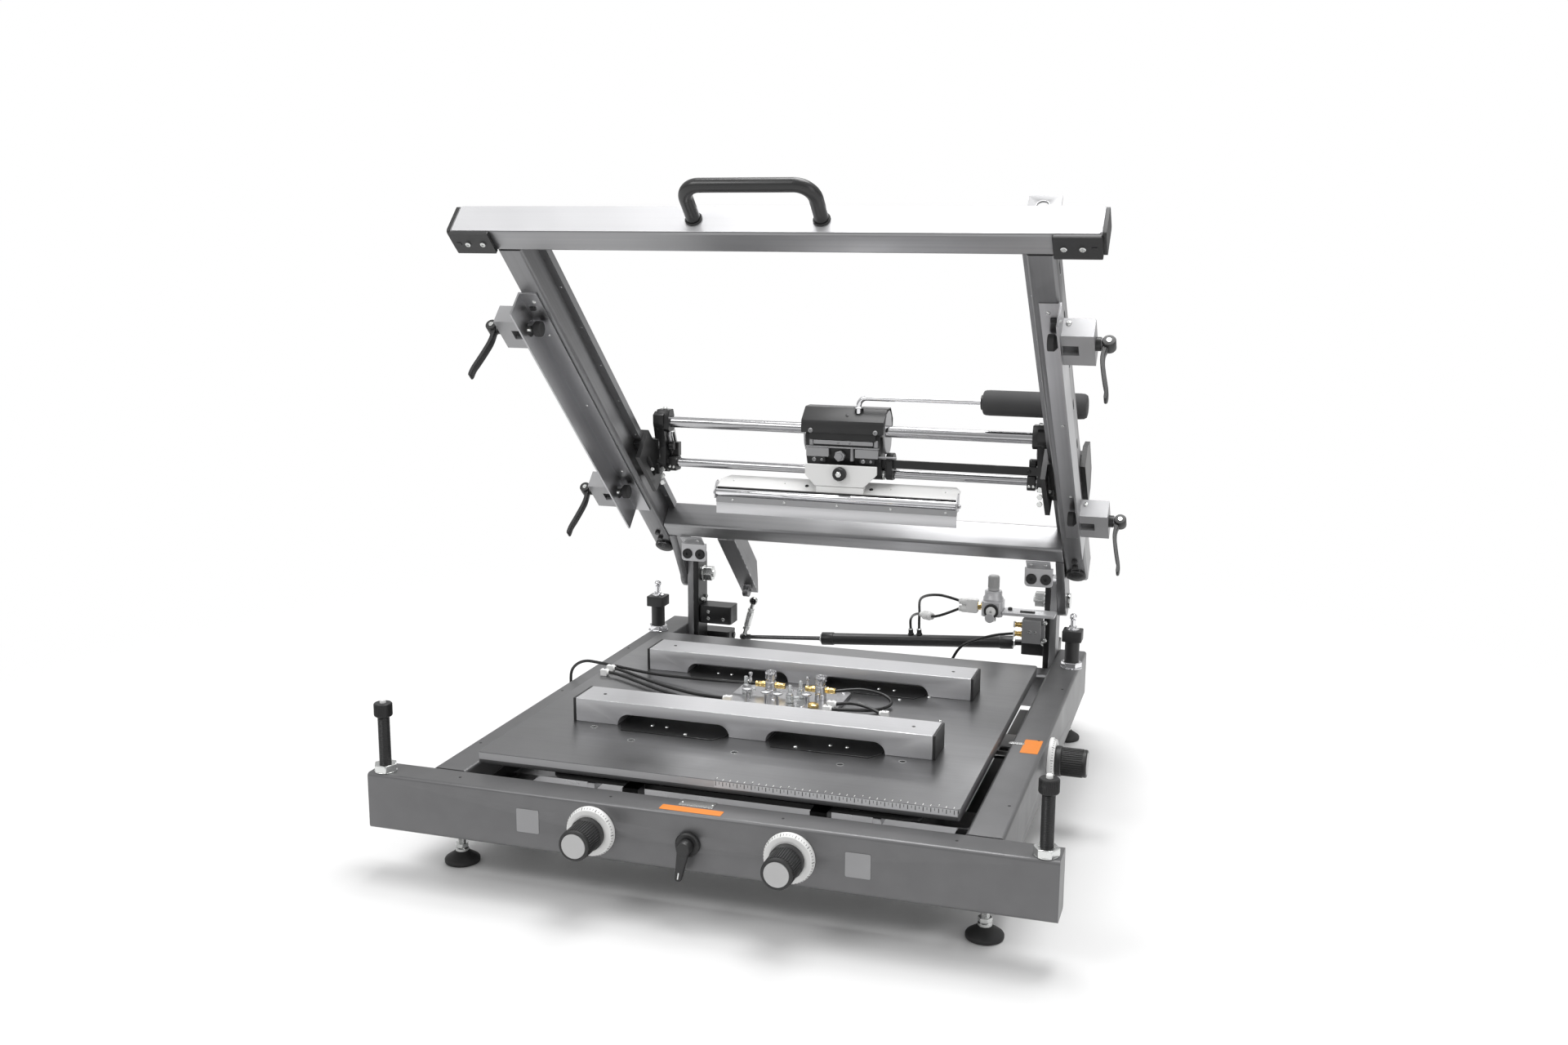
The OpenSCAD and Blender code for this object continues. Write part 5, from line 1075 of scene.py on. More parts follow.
PLUG_PIECES = [build("hose_plug", plug, PLUG, "table", WHITE_PLASTIC, ["manifold"]),
               build("hose_plug_nut", hexagon(12, 8.5, 0.7).at(move(0, 0, 8.5)), PLUG, "table", BRASS,
                     ["manifold"])]
build("cluster_posts_and_pins", chrome, HERE, "table", POLISHED, ["manifold"])
build("cluster_brass", gold, HERE, "table", BRASS, ["manifold"])
build("cluster_clear_fittings", glass, HERE, "table", CLEAR, ["manifold"])
build("cluster_push_fittings", pale, HERE, "table", WHITE_PLASTIC, ["manifold"])

# -------------------- regulator, valve block and what carries them
SHELF_Z, SHELF_X, COLUMN_Y, REG_W, REG_Z, REG_H = 76.0, 258.0, 897.0, 37.0, 71.0, 45.0
REG_X, REG_MID = SHELF_X - REG_W / 2, COLUMN_Y - REG_W / 2
alloy, chrome, black, gold, white = solids(5)
alloy.add(box(RAIL_IN - SHELF_X, REG_W, 6, 1.0), BASE @ move((RAIL_IN + SHELF_X) / 2, REG_MID, SHELF_Z))
alloy.add(prism([(-18.5, -14), (-14, -18.5), (14, -18.5), (18.5, -14), (18.5, 14), (14, 18.5), (-14, 18.5),
                 (-18.5, 14)], 27, 1.0), BASE @ move(REG_X, REG_MID, REG_Z))
alloy.add(lathe([(17.6, 26.4), (18.2, 27.4), (18.2, 32), (15.6, 35.6), (15.6, 43.4), (14.4, REG_H), (0, REG_H)], 12),
          BASE @ move(REG_X, REG_MID, REG_Z))
gauge = BASE @ move(REG_X, COLUMN_Y - REG_W, REG_Z + REG_H / 4) @ FRONTWARD
black.add(lathe([(8.8, -1), (12.9, -1), (12.9, 4.6), (11.8, 6), (10.4, 6), (8.8, 5.2)], 40), gauge)
white.add(lathe([(9.0, 0), (9.0, 5.0), (7.4, 6), (0, 6)], 36), gauge)
chrome.add(pan_screw(2.6), gauge @ move(0, 0, 6))
alloy.add(lathe([(8, 0), (8.4, 0.5), (8.4, 6), (7.4, 7), (0, 7)], 32), BASE
          @ move(REG_X - 2, COLUMN_Y - REG_W, REG_Z - 1) @ FRONTWARD)
chrome.add(lathe([(6, 0), (6, -10.5), (5, -11.6), (0, -11.6)][::-1], 32), BASE @ move(REG_X, REG_MID, REG_Z))
KNOB = BASE @ move(REG_X, REG_MID, REG_Z + REG_H + 0.3)
knob = lathe([(9.6, 0), (10.1, 0.5), (10.1, 4), (9.4, 4.8), (9.4, 24.6), (8.2, 26.6), (5.4, 26.8), (0, 26.8)], 36)
knob.add(ring(prism([(-0.5, -0.75), (0.45, -0.5), (0.7, 0), (0.45, 0.5), (-0.5, 0.75)], 19.2, 0.2), 24, 9.6),
         move(0, 0, 5.2))
build("regulator_knob_cap", knob, KNOB, "regulator_knob", CAP_GREY, ["regulator_knob"])
WYE_X, WYE_Y, PORT_UP, PORT_LOW = 180.3, 880.35, 91.25, 77.75
barrel = lathe([(2.7, -2.4), (4.6, -2.4), (5.4, -1.6), (5.4, 1), (4.8, 1.6), (6.3, 2.6), (6.6, 4), (6.6, 17),
                (5.8, 18.5), (0, 18.5)], 32)
for z in (PORT_UP, PORT_LOW):
    white.add(barrel, BASE @ move(WYE_X, WYE_Y, z) @ RIGHTWARD)
white.add(prism(round_box(21, 25, 3.4), 13, 1.4), BASE @ move(WYE_X + 22, WYE_Y + 6.5, (PORT_UP + PORT_LOW) / 2)
          @ FRONTWARD)
gold.add(hexagon(12.6, 6, 0.8), BASE @ move(WYE_X + 31.6, WYE_Y, 84.5) @ RIGHTWARD)
gold.add(rod(4.2, 12, 0.6, 28), BASE @ move(WYE_X + 30, WYE_Y, 84.5) @ RIGHTWARD)
VALVE_X, VALVE_Y, VALVE_W, VALVE_H, VALVE_Z = 294.0, 863.0, 34.0, 42.0, 28.0
body = BASE @ move(VALVE_X, VALVE_Y, VALVE_Z)
alloy_block = box(VALVE_W - 0.4, 30.2, VALVE_H, 0.8, False)
alloy_block.add(box(7, 4, 24, 0.6, False), move(VALVE_W - 1, 6, 9))
build("valve_body", alloy_block, body, "base", BLOCK_ALLOY, ["valve_block"])
brass_end = lathe([(2.7, 15), (4.4, 15), (4.7, 14.4), (4.7, 11.6), (3.9, 10.8), (3.9, 9.8), (4.7, 9), (4.7, 5),
                   (4, 4.2), (5.4, 3.6), (5.4, 0.6), (4.6, -1)][::-1], 28)
for share in (0.3, 0.7):
    port = body @ move(0, 0.4 * VALVE_W, share * VALVE_H) @ LEFTWARD
    gold.add(brass_end, port)
    white.add(pipe(5.6, 2.7, 3.0, 0.5, 28), port @ move(0, 0, 13.4))
chrome.add(cap_screw(3.3, 2.6), body @ move(0.42 * VALVE_W, 0, 0.5 * VALVE_H) @ FRONTWARD)
chrome.add(cap_screw(2.4, 1.6), body @ move(0.7 * VALVE_W, 0, 0.5 * VALVE_H) @ FRONTWARD)
for z in (0.12, 0.88):
    chrome.add(hexagon(8, 4.4, 0.6), body @ move(VALVE_W + 5, 12, z * VALVE_H) @ FRONTWARD)
    chrome.add(pan_screw(4.2), body @ move(VALVE_W + 5, 7.6, z * VALVE_H) @ FRONTWARD)
black.add(cap_screw(4.0), BASE @ move(SHELF_X + 12, REG_MID, SHELF_Z + 6))
black.add(box(26, 7, 2.6, 0.5), BASE @ move(SHELF_X + 44, REG_MID - 8, SHELF_Z + 6))
inline = lathe([(2.7, 0), (5.2, 0), (6.4, 1), (6.4, 8), (8.2, 10), (8.2, 26), (6.8, 28.4), (5.4, 29.4), (5.4, 38),
                (4.2, 39.4), (2.7, 39.4)], 32)
build("regulator_body", alloy, HERE, "base", AIR_ALLOY, ["regulator"])
build("air_white_fittings", white, HERE, "base", WHITE_PLASTIC, ["regulator"])
build("air_brass", gold, HERE, "base", BRASS, ["valve_block"])
build("air_black_parts", black, HERE, "base", BLACK_PLASTIC, ["regulator"])
build("air_screws", chrome, HERE, "base", ZINC, ["regulator"])

# -------------------- lid: face, stops, strips, screws
BEAM_X, BEAM_FRONT, BEAM_BACK, BEAM_LOW, BEAM_TOP = 465.0, -926.0, -886.0, 6.5, 57.5
DOWN = turn(180, "X")
film = prism(round_box(2 * BEAM_X - 6, BEAM_TOP - BEAM_LOW - 3, 2.5, 0, (BEAM_TOP + BEAM_LOW) / 2), 0.5, 0.15)
build("beam_face_film", film, LID @ move(0, BEAM_FRONT, 0) @ FRONTWARD, "lid", FACE_SILVER)
screws, black = solids(2)
for side in SIDES:
    for x in (416, 440):
        screws.add(cap_screw(4.2, 3.2), LID @ side @ move(x, (BEAM_FRONT + BEAM_BACK) / 2, 1.2) @ DOWN)
    black.add(box(7, 5, 0.8, 0.2), LID @ side @ move(455, (BEAM_FRONT + BEAM_BACK) / 2, 1.0) @ DOWN)
    screws.add(row(pan_screw(2.3), 8, (0, -95, 0)), LID @ side @ move(358.5, -860, 45.5) @ DOWN)
    screws.add(pan_screw(3.6), LID @ side @ move(386, -777, 3.5) @ DOWN)
    black.add(prism(round_box(9, 7, 1), 2.4, 0.3), LID @ side @ move(393, -763, 3.5) @ DOWN)
    for y in (-700, -520, -330):
        screws.add(pan_screw(2.6), LID @ side @ move(390, y, 3.5) @ DOWN)
    for y in (-764, -320):
        screws.add(pan_screw(4.0), LID @ side @ move(414, y, -3) @ FRONTWARD)
    for y in (-733, -289):
        black.add(lathe([(8.6, -0.3), (9.7, 0.2), (9.7, 7.0), (8.8, 7.8), (6.2, 7.8), (6.2, -0.3)], 36),
                  LID @ side @ move(450, y, -12) @ RIGHTWARD)
    for y in (-130, -112):
        black.add(hexagon(9, 5.5, 0.6), LID @ side @ move(384, y, BEAM_LOW) @ DOWN)
    black.add(lathe([(0, -0.2), (15.5, -0.2), (17, 0.8), (17, 4), (15.4, 5), (0, 5)], 40), LID @ side
              @ move(384, -84, BEAM_LOW) @ DOWN)
for side in (-1, 1):
    black.add(pipe(12.4, 9.9, 3.5, 0.8), LID @ move(side * 92, BEAM_FRONT - 0.4, 30) @ FRONTWARD)
    screws.add(pan_screw(3.4), LID @ move(side * 110, BEAM_BACK + 0.2, 30) @ BACKWARD)
build("lid_screws", screws, HERE, "lid", ZINC, ["lid_caps"])
build("lid_black_fittings", black, HERE, "lid", BLACK_PLASTIC, ["lid_caps"])
dress("lid_caps", BLACK_PLASTIC, 0.9)
dress("clamp_blocks", BLOCK_ALLOY, 0.9)

rubber, tiny, bent = solids(3)
BUFFER_X, BUFFER_W, BUFFER_H, CORNER_R, FOLD_Y, FOLD_Z = 321.0, 49.0, 33.0, 7, -97.0, 5.0
ROUND_X, ROUND_DOWN, ROUND_R = 12.5, 19.0, 9.4
lower = BUFFER_H - CORNER_R
leg = [(BUFFER_W / 2, 1.5), (-BUFFER_W / 2, 1.5)]
for x, start in ((CORNER_R - BUFFER_W / 2, 180), (BUFFER_W / 2 - CORNER_R, 270)):
    leg += [(x + CORNER_R * math.cos(math.radians(start + 15 * k)), -lower
             + CORNER_R * math.sin(math.radians(start + 15 * k))) for k in range(7)]
for side in (-1, 1):
    hung = LID @ move(side * BUFFER_X, FOLD_Y, FOLD_Z) @ turn(90 + LID_OPEN, "X")
    bent.add(prism(leg, 3, 0.7, [circle(5.5, 28, x, -ROUND_DOWN) for x in (-ROUND_X, ROUND_X)]), hung
             @ move(0, 0, -1.5))
    bent.add(box(42, 24, 3, 0.7), LID @ move(side * BUFFER_X, FOLD_Y - 11, FOLD_Z - 1.5))
    for x in (-ROUND_X, ROUND_X):
        rubber.add(lathe([(0, -10), (5.2, -10), (5.4, 1.4), (8.6, 1.5), (ROUND_R, 2.2), (ROUND_R, 3.4), (8.4, 4.3),
                          (2.6, 4.3), (2.2, 2.4), (0, 2.4)], 40), hung @ move(x, -ROUND_DOWN, 0))
        tiny.add(pan_screw(2.6), LID @ move(side * BUFFER_X + x, FOLD_Y - 14, FOLD_Z - 1.5) @ DOWN)
build("buffer_plates", bent, HERE, "lid", BUFFER_STEEL, ["buffers"])
build("buffer_rounds", rubber, HERE, "lid", RUBBER, ["buffers"])
build("buffer_screws", tiny, HERE, "lid", ZINC, ["buffers"])

# -------------------- clamp levers and their pins
LEVER_R, LEVER_L, LEVER_T, LEVER_X, LEVER_Z = 9.5, 96.0, 14.0, 467.8, -12
shape = [(-0.72, 0.04), (-0.93, -0.16), (-0.96, -0.32), (-0.62, -0.52), (-0.18, -0.72), (0.18, -0.86), (0.24, -1.0),
         (0.74, -1.0), (0.76, -0.86), (0.38, -0.68), (0.0, -0.50), (-0.30, -0.32), (-0.26, -0.16), (0.56, 0.04)]
outline = [(p.x, p.y) for p in smooth_path([(a * LEVER_R, b * LEVER_L, 0) for a, b in shape], 3)]
lever = prism(outline, LEVER_T - 2, 1.8, segments=3).at(move(0, LEVER_T / 2 - 1, 0), FRONTWARD)
hub = lathe([(7.6, -9.3), (8.8, -9.1), (9.5, -7.8), (9.5, 7.8), (8.8, 9.1), (7.6, 9.3)], 40)
lever.add(hub, FRONTWARD)
pin = lathe([(0, -10.2), (3.4, -10.2), (3.9, -9.6), (3.9, 9.6), (3.4, 10.2), (1.6, 10.2), (1.2, 9.4), (0, 9.4)], 24)
for corner, side in CORNERS:
    flip = MIRROR if side < 0 else HERE
    y = (LID.inverted() @ joint_at("clamp_lever_" + corner)).translation.y
    name = "lever_" + corner
    at = LID @ flip @ move(LEVER_X, y, LEVER_Z)
    build(name + "_grip", Solid().add(lever, at), HERE, name, BLACK_PLASTIC, [name])
    build(name + "_pin", Solid().add(pin, at @ FRONTWARD), HERE, name, ZINC, [name])

# -------------------- hoses: smooth tubes along the routes of the part's source
HOSE_R, STEPS = 2.5, 6
INLINE_FROM, INLINE_TO = 7, 11


def hose(name, route, place, body, node):
    path = smooth_path(route, STEPS)
    tube = build(name, sweep(path, HOSE_R, 16), place, body, HOSE, [node])
    line = [place @ p for p in path]
    return line


table_routes = {"hose_over_rail": [(-53.92, 364.5, 21), (-130, 374, 16), (-240, 404, 7), (-345, 430, 8),
                                   (-385, 440, 5), (-410, 448, -14), (-416, 454, -45), (-416, 456, -75)],
                "hose_edge_front": [(-84, 274, 12), (-120, 290, 8), (-200, 330, 5), (-290, 382, 6),
                                    (-319, 392.08, 6)], "hose_edge_rear": [(-84, 304, 12), (-140, 322, 8),
                                                                           (-210, 358, 5), (-290, 402, 6),
                                                                           (-319, 417.08, 6)],
                "hose_loop": [(75.04, 364.5, 21), (112, 382, 22), (146, 390, 14), (160, 374, 6), (140, 340, 5),
                              (84, 304, 12)], "hose_short": [(84, 329, 12), (110, 332, 15), (135, 330, 12),
                                                             (157.2, 324, 6)], }
air_routes = {
    "hose_upper": [(180.3, 880.35, 91.25), (140, 884, 98), (98, 930, 78), (86.23, 971, 38), (86.23, 971, 8)],
    "hose_lower": [(180.3, 880.35, 77.75), (135, 884, 58), (92, 930, 48), (70.27, 971, 26.9), (70.27, 971, 6.9)],
    "hose_valve": [(279, 876.6, 40.6), (240, 872, 34), (190, 866, 14), (168, 864, -20)],
}
for name, route in table_routes.items():
    hose(name, route, TABLE, "table", "table_hoses")
for name, route in air_routes.items():
    line = hose(name, route, BASE, "base", "air_hoses")
    if name == "hose_lower":
        start, end = line[INLINE_FROM], line[INLINE_TO]
        along = Matrix.Translation(start) @ (end - start).to_track_quat("Z", "Y").to_matrix().to_4x4() @ SCALE
        build("inline_fitting", inline, along, "base", WHITE_PLASTIC)

# -------------------- carriage ends
BRACKET_X, BRACKET_T = 327.7, 19.0
clamp_side = [(-15.5, -12), (-15.5, 7), (-9.5, 22), (9.5, 22), (15.5, 7), (15.5, -12), (9, -17), (-9, -17)]
slotted = [(7, -4), (24, -4), (47, -52), (45, -66), (22, -66), (2, -26)]


def on_slotted(outline):
    """An outline leaned and moved to the middle of the slotted plate."""
    return [(26 + x * 0.42 - y * 0.9, -36 - x * 0.9 - y * 0.42) for x, y in outline]


window = on_slotted(slot(34, 10))
for side, name in ((1, "right"), (-1, "left")):
    flip = HERE if side > 0 else MIRROR
    black, bright, plates = solids(3)
    end = HEAD @ flip
    black.add(prism(clamp_side, 24, 1.2, [circle(ROD_R + 0.1, 36)]), end @ move(BRACKET_X - 9, 0, 0) @ ALONG_X)
    bright.add(cap_screw(4.0, 3.6), end @ move(BRACKET_X + 3, 0, 22))
    bright.add(cap_screw(3.0, 2.4), end @ move(BRACKET_X + 3, -12.6, 12) @ turn(52, "X"))
    black.add(prism(round_box(27, 25, 4, LOW_BACK, -ROD_GAP - 2), 14, 1.0,
                    [circle(LOW_R + 0.1, 32, LOW_BACK, -ROD_GAP)]), end @ move(BRACKET_X - 17, 0, 0) @ ALONG_X)
    black.add(box(11, 14, 25, 1.0), end @ move(BRACKET_X - 11, LOW_BACK + 9, -ROD_GAP + 10))
    for x in (-13, -6):
        bright.add(pan_screw(2.7), end @ move(BRACKET_X + x, LOW_BACK - 13.4, -ROD_GAP - 7) @ FRONTWARD)
    plates.add(prism(slotted, 3, 0.5, [window]), end @ move(BRACKET_X - 3.2, 0, 0) @ ALONG_X)
    rim = prism(on_slotted(slot(38, 14)), 1.6, 0.4, [window])
    bright.add(rim, end @ move(BRACKET_X - 4.6, 0, 0) @ ALONG_X)
    for y, z in ((-11, -40), (-7, -58), (-12, -84)):
        black.add(box(20, 18, 19, 1.6), end @ move(BRACKET_X + 20, y + 8, z - 9))
        bright.add(cap_screw(3.6, 3.2), end @ move(BRACKET_X + 22, y - 1, z) @ FRONTWARD)
    grip = lathe([(6.4, 0), (7.4, 0.8), (7.4, 8.4), (6.6, 9.4), (3, 9.6), (0, 9.6)], 32)
    grip.add(ring(prism([(-0.4, -0.6), (0.5, 0), (-0.4, 0.6)], 7.4, 0.1), 24, 7.4), move(0, 0, 1))
    black.add(grip, end @ move(BRACKET_X - 3, 5, -44) @ LEFTWARD)
    for z in (-88, -100, -112):
        bright.add(hexagon(8.6, 3.6, 0.5), end @ move(BRACKET_X + 6, -6, z + 4) @ FRONTWARD)
    dress("slider_" + name, BLACK_ANODISED_AND_SHADE, 0.8)
    build("carriage_blocks_" + name, black, HERE, "carriage", BLACK_ANODISED_AND_SHADE, ["slider_" + name])
    build("carriage_screws_" + name, bright, HERE, "carriage", ZINC, ["slider_" + name])
    build("carriage_slot_plate_" + name, plates, HERE, "carriage", BLANK_PLATE, ["slider_" + name])
rods = Solid()
for y, z, r in ((0, 0, ROD_R), (LOW_BACK, -ROD_GAP, LOW_R)):
    half = BRACKET_X + BRACKET_T - 3.5
    rods.add(lathe([(0, -half + 1.5), (2.2, -half), (r - 0.8, -half), (r, -half + 0.8), (r, half - 0.8),
                    (r - 0.8, half), (2.2, half), (0, half - 1.5)], 48), HEAD @ move(0, y, z) @ RIGHTWARD)
build("carriage_rods", rods, HERE, "carriage", ROD_STEEL, ["rods"])
flat = prism([(-3, -62), (3, -62), (3, -48), (-3, -48)], BRACKET_X - 20, 0.5)
flat.add(pan_screw(3.4), move(-3, -55, BRACKET_X - 34) @ turn(-90, "Y"))
build("carriage_flat_bar", flat, across(20), "carriage", BLACK_ANODISED_AND_SHADE, ["guide_bar"])

# -------------------- base: bare plates and strips
plates, orange, metal, black = solids(4)
LABEL = 33.0
for x in (-230.5, 226):
    plates.add(prism(round_box(LABEL, LABEL, 2.2), 0.6, 0.15), BASE @ move(x, 0, -39) @ FRONTWARD)
build("front_bare_plates", plates, HERE, "base", LABEL_GREY)
orange.add(prism(round_box(85, 16, 1.5, -1.5, 14), 0.4, 0.1), BASE)
orange.add(prism(round_box(26, 60, 1.5, 381.5, 400), 0.4, 0.1), BASE)
build("orange_strips", orange, HERE, "base", LABEL_ORANGE)
metal.add(prism(round_box(48, 21, 1.5, -1, 36), 0.9, 0.25), BASE)
metal.add(prism(round_box(23, 8, 1, 358.5, 408), 0.9, 0.25), BASE)
for x, y in ((-22, 36), (20, 36), (350, 408), (366, 408)):
    metal.add(pan_screw(1.6), BASE @ move(x, y, 0.9))
# flat black discs for the tapped holes: painted shade inside the holes
for x in (-345, -120, 120, 345):
    black.add(rod(1.9, 0.4, 0.1, 16), BASE @ move(x, 25, 0))
for side in (-1, 1):
    for y in (160, 430, 700):
        black.add(rod(2.1, 0.4, 0.1, 16), BASE @ move(side * 388, y, 0))
build("base_small_plates", metal, HERE, "base", ZINC)
build("base_tapped_holes", black, HERE, "base", INK_AND_SHADE_BLACK)

# -------------------- table: scale, hole rims, bars, their screws, and black plates of painted shade in their pockets
white, ruler, inked, dots, bright, dark = solids(6)
TICKS = 33
white.add(row(box(0.8, 5.0, 0.25, 0.0), TICKS, (10, 0, 0)), TABLE @ move(12, 4.2, 0))
white.add(row(box(1.0, 8.0, 0.25, 0.0), 7, (50, 0, 0)), TABLE @ move(12, 5.7, 0))
ruler.add(box(326, 0.5, 8.4, 0.1), TABLE @ move(174, 0.05, -9.6))
inked.add(row(box(0.6, 0.2, 3.6, 0.0), TICKS * 2, (5, 0, 0)), TABLE @ move(13, -0.28, -5.2))
inked.add(row(box(0.9, 0.2, 5.6, 0.0), TICKS, (10, 0, 0)), TABLE @ move(13, -0.30, -7.2))
build("table_ruler", ruler, HERE, "table", RULER_STEEL)
# a film over the table's whole front face: painted light, making the front lighter than the table's own metal, as if
# lit
lit_front_film = box(TABLE_W - 4, 0.3, 9.4, 0.1)
build("table_front_edge", lit_front_film, TABLE @ move(0, 0.1, -10.4), "table", LIT_FRONT_ALLOY)
build("ruler_ticks", inked, HERE, "table", INK_AND_SHADE_BLACK)
build("table_scale", white, HERE, "table", WHITE_PAINT)
HOLES = [(-0.34, 0.22), (-0.23, 0.165), (0, 0.163), (0.225, 0.163), (0.34, 0.22), (-0.34, 0.72), (0.34, 0.72),
         (0.1, 0.52), (0.16, 0.56), (-0.2, 0.86), (0.2, 0.86)]
for x, y in HOLES:
    dots.add(pipe(5.6, 4.05, 0.35, 0.15, 28), TABLE @ move(x * TABLE_W, y * TABLE_L, 0))
for x, y in ((0.27, 0.3), (0.31, 0.33), (0.24, 0.62), (0.3, 0.66), (-0.3, 0.62), (0.36, 0.5)):
    dots.add(pan_screw(3.0), TABLE @ move(x * TABLE_W, y * TABLE_L, 0))
dress("table_plate", TABLE_ALLOY, 1.2)
build("table_hole_rims", dots, HERE, "table", ZINC, ["table_plate"])
BAR_L, BAR_H, FOOT_OUT = 538.0, 35.0, 21.0
slots = ((0.125, 0.447), (0.55, 0.875))
for y in (167, 449):
    for low, high in slots:
        x0, x1 = (low - 0.5) * BAR_L + 10, (high - 0.5) * BAR_L - 10
        # the pocket floors under the bars are real, but drawn black: painted shade of the pockets
        shaded_floor = [(x0 - 6, y), (x0 + 4, y - FOOT_OUT), (x1 - 8, y - FOOT_OUT), (x1 + 6, y), (x1 + 6, y + 46),
                (x0 - 6, y + 46)]
        dark.add(prism(shaded_floor, 1.6, 0.4), TABLE)
        for share, out in ((0.27, 9), (0.42, 9), (0.66, -12)) if low < 0.5 else ((0.25, -12), (0.54, 9), (0.7, 9)):
            bright.add(pan_screw(3.4), TABLE @ move(x0 + share * (x1 - x0), y + out, 1.6))
    # flat black discs on the bars' tops stand for holes: painted shade inside them
    for x in (-235, 235):
        dark.add(lathe([(2.6, 0), (2.6, 0.3), (0, 0.3)], 18), TABLE @ move(x, y + 31, BAR_H))
dress("support_bars", BAR_ALLOY, 0.9)
dress("bar_caps", BLACK_PLASTIC, 1.2)
build("bar_foot_plates", dark, HERE, "table", BLACK_ANODISED_AND_SHADE, ["support_bars"])
build("bar_foot_screws", bright, HERE, "table", ZINC, ["support_bars"])

# -------------------- cylinder, its rod and link
STRUT_X, STRUT_BACK, STRUT_Z, STRUT_SLOPE = 263.0, 26.0, -2.0, 3.9
CYL_R, CYL_L, CYL_ROD, STROKE, LINK_L, LINK_LEAN = 11.0, 366.0, 4.0, 160.0, 76.0, 15.0
BASE_LEN = 945.0
STRUT = BASE @ move(STRUT_X, BASE_LEN + STRUT_BACK, STRUT_Z) @ turn(-90 - STRUT_SLOPE, "Y")
reach = CYL_L + STROKE
shaft = lathe([(0, 0.7 * CYL_L), (CYL_ROD, 0.7 * CYL_L), (CYL_ROD, reach - 14), (CYL_ROD + 1.4, reach - 13),
               (CYL_ROD + 1.4, reach), (0, reach)], 32)
build("strut_shaft", shaft, STRUT, BODY_OF["strut_rod"], ROD_DARK, ["strut_rod"])
LINK = STRUT @ move(0, 0, reach) @ turn(90 + LINK_LEAN + STRUT_SLOPE, "Y")
link, dark = solids(2)
for z in (0, LINK_L):
    link.add(pipe(7.9, 4.6, 8.6, 1.4, 36), LINK @ move(0, 4.3, z) @ FRONTWARD)
    dark.add(lathe([(0, -5.6), (2.6, -5.6), (4.5, -2.6), (4.5, 2.6), (2.6, 5.6), (0, 5.6)], 28), LINK @ move(0, 0, z)
             @ FRONTWARD)
link.add(lathe([(0, 6), (4.3, 6), (4.0, 14), (4.8, 16), (4.8, LINK_L - 16), (4.0, LINK_L - 14), (4.3, LINK_L - 6),
                (0, LINK_L - 6)], 28), LINK)
link.add(hexagon(13, 30, 1.0), LINK @ move(0, 0, 24))
for z in (16.5, 55.5):
    link.add(hexagon(12.4, 5, 0.8), LINK @ move(0, 0, z) @ turn(30, "Z"))
build("strut_link", link, HERE, BODY_OF["strut_rod"], ZINC, ["strut_rod"])
build("strut_link_balls", dark, HERE, BODY_OF["strut_rod"], BLACK_ANODISED_AND_SHADE, ["strut_rod"])
bright, dull = solids(2)
bright.add(hexagon(15, 4.5, 0.8), STRUT @ move(0, 0, CYL_L - 0.5))
bright.add(hexagon(15, 4, 0.8), STRUT @ move(0, 0, -5))
for z in (21.5, 0.94 * CYL_L - 1.2):
    dull.add(pipe(CYL_R + 1.0, CYL_R - 0.6, 2.4, 0.5, 48), STRUT @ move(0, 0, z))
for z in (0.48 * CYL_L, 0.48 * CYL_L + 16):
    dull.add(hexagon(10.5, 3.4, 0.5), STRUT @ move(0, 0, z) @ turn(90, "Y") @ move(0, 0, CYL_R - 0.3))
    bright.add(pipe(4.7, 2.7, 2.4, 0.5, 28), STRUT @ move(0, 0, z) @ turn(90, "Y") @ move(0, 0, 20.4))
dress("strut_cylinder", BLACK_ANODISED_AND_SHADE, 0.9)
build("cylinder_collars", dull, HERE, "base", BLACK_PLASTIC, ["strut_cylinder"])
build("cylinder_nuts", bright, HERE, "base", ZINC, ["strut_cylinder"])

# -------------------- screws of the columns and the black box, and black strips of painted shade under the rails
SHADE_STRIP_L, SHADE_STRIP_Y, SHADE_STRIP_Z = 640, 420, -56
bolts, strips = solids(2)
for x, z in ((-309, 13), (-309, 26), (-279, 13)):
    bolts.add(cap_screw(3.4, 2.8), BASE @ move(x, 900, z) @ FRONTWARD)
for side in (-1, 1):
    for z in (14, 44):
        bolts.add(cap_screw(4.6, 4), BASE @ move(side * 328, 921, z) @ (LEFTWARD if side > 0 else RIGHTWARD))
    # black strips in the gap under each rail: painted shade where that gap lies dark, not a real part
    strips.add(box(36, SHADE_STRIP_L, 1.6, 0.4), BASE @ move(side * 331.8, SHADE_STRIP_Y, SHADE_STRIP_Z))
    strips.add(box(1.6, SHADE_STRIP_L, 26, 0.4), BASE @ move(side * 349.0, SHADE_STRIP_Y, SHADE_STRIP_Z))
build("column_screws", bolts, HERE, "base", ZINC, ["strut_mounts"])
build("rail_shade_strips", strips, HERE, "base", BLACK_ANODISED_AND_SHADE)
dress("strut_mounts", BLACK_ANODISED_AND_SHADE, 1.0)

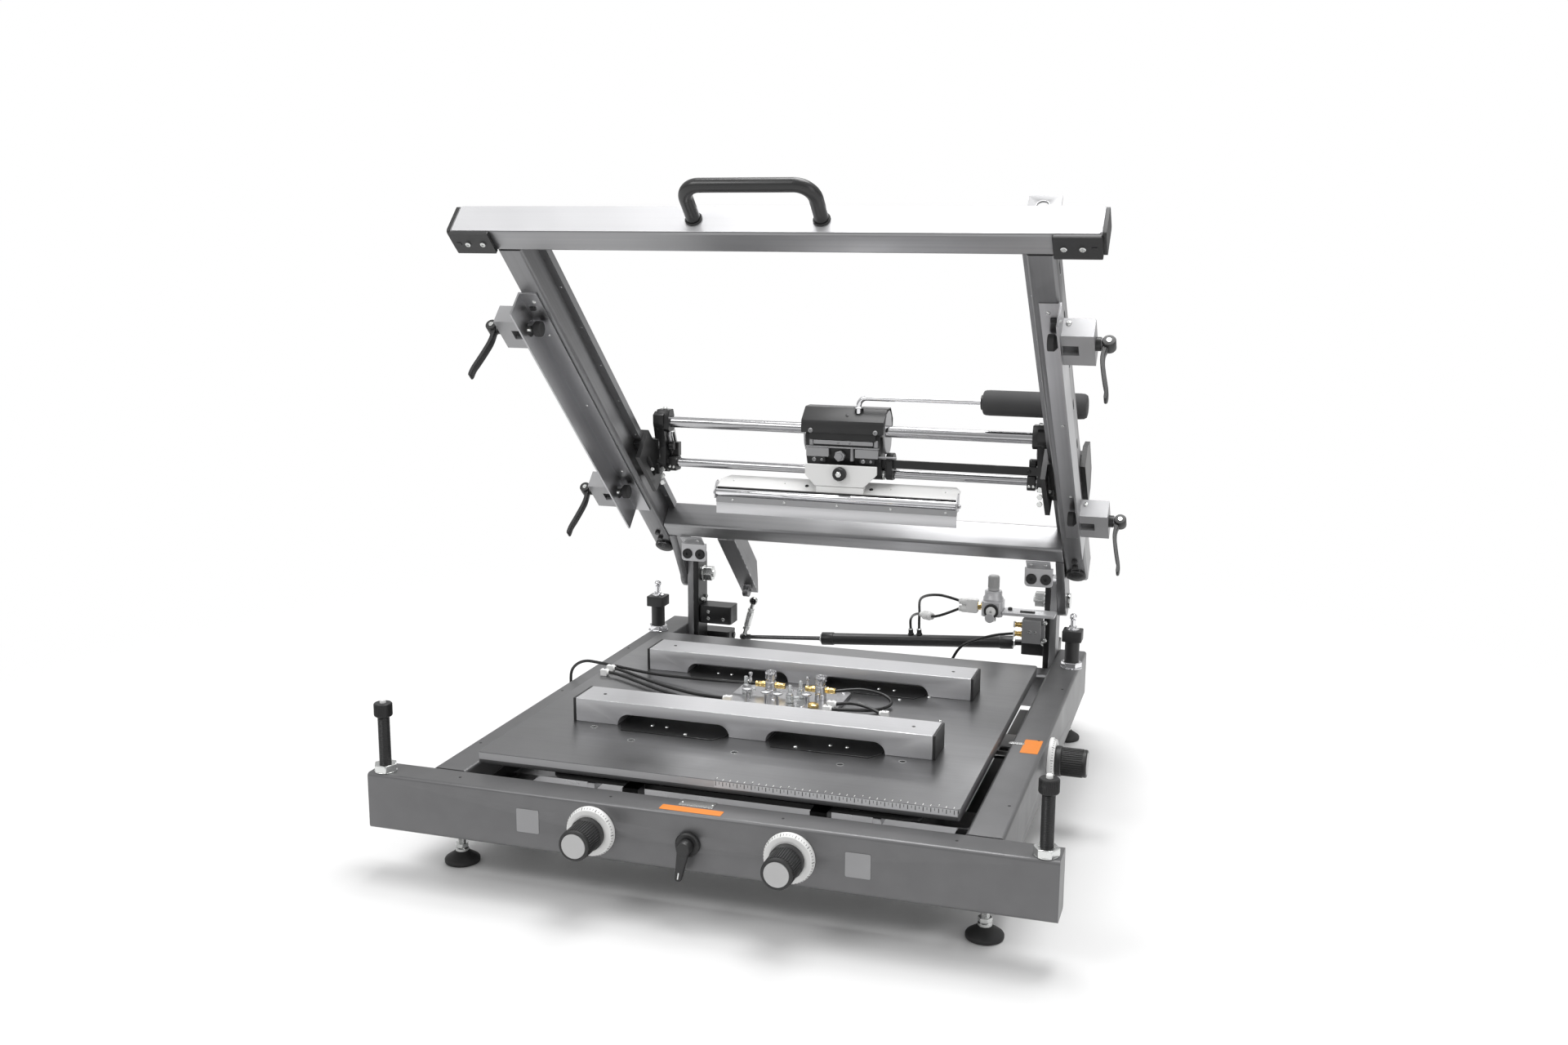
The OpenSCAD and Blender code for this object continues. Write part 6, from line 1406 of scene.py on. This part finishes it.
# -------------------- catch plate, clamp feet
CATCH_W, CATCH_H, CATCH_X, CATCH_Y = 45.0, 62.0, 355.0, -883.0
dress("lid_catch", CATCH_WHITE, 0.5)
ink = Solid()
ink.add(pipe(9.4, 8.2, 0.5, 0.1, 36), LID @ move(CATCH_X + 0.45 * CATCH_W, CATCH_Y, 57.5 + 0.68 * CATCH_H)
        @ FRONTWARD)
ink.add(box(13, 2.6, 0.5, 0.1), LID @ move(CATCH_X + 0.82 * CATCH_W, CATCH_Y, 57.5 + 0.68 * CATCH_H) @ FRONTWARD)
build("catch_rim", ink, HERE, "lid", BLANK_PLATE, ["lid_catch"])
foot = lathe([(0, 0), (11.2, 0), (12, 0.8), (12, 9), (8.4, 12.6), (6.2, 15), (0, 15)], 36)
for corner, side in CORNERS:
    low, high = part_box("pad_" + corner)
    tip = low.x if side > 0 else high.x
    at = Matrix.Translation((tip, (low.y + high.y) / 2, (low.z + high.z) / 2)) @ SCALE @ (RIGHTWARD if side > 0
                                                                                          else LEFTWARD)
    stem = rod(4.9, (high.x - low.x) / MM - 0.3, 0.5, 28)
    build("foot_" + corner, Solid().add(foot, at), HERE, BODY_OF["pad_" + corner], RUBBER,
          ["pad_" + corner])
    build("foot_stem_" + corner, Solid().add(stem, at @ move(0, 0, 0.2)), HERE, BODY_OF["pad_" + corner], ZINC,
          ["pad_" + corner])

# -------------------- CAD nodes shown in their own shape
DRESS = {
    "front_beam": (FRAME_GREY, 1.8),
    "side_rails": (FRAME_GREY, 1.8),
    "cross_members": (BRUSHED_STEEL, 0.8),
    "hinge_pins": (ZINC, 0.5),
    "y_stage": (BLACK_ANODISED_AND_SHADE, 0.8),
    "x_stage": (BLACK_ANODISED_AND_SHADE, 0.8),
    "lid_beam": (BEAM_GREY, 1.6),
    "lid_arm_left": (ARM_GREY, 1.2),
    "lid_arm_right": (ARM_GREY, 1.2),
    "lid_crossbar": (BEAM_GREY, 1.6),
    "hinge_lugs": (ARM_GREY, 0.6),
    "lid_handle": (HANDLE_BLACK, 0.0),
    "clamp_rails": (RAIL_STEEL, 0.9),
    "lift_arm": (LIFT_STEEL, 1.2),
}
for node in frame["nodes"]:
    if node in DRESS:
        dress(node, *DRESS[node])

low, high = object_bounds()
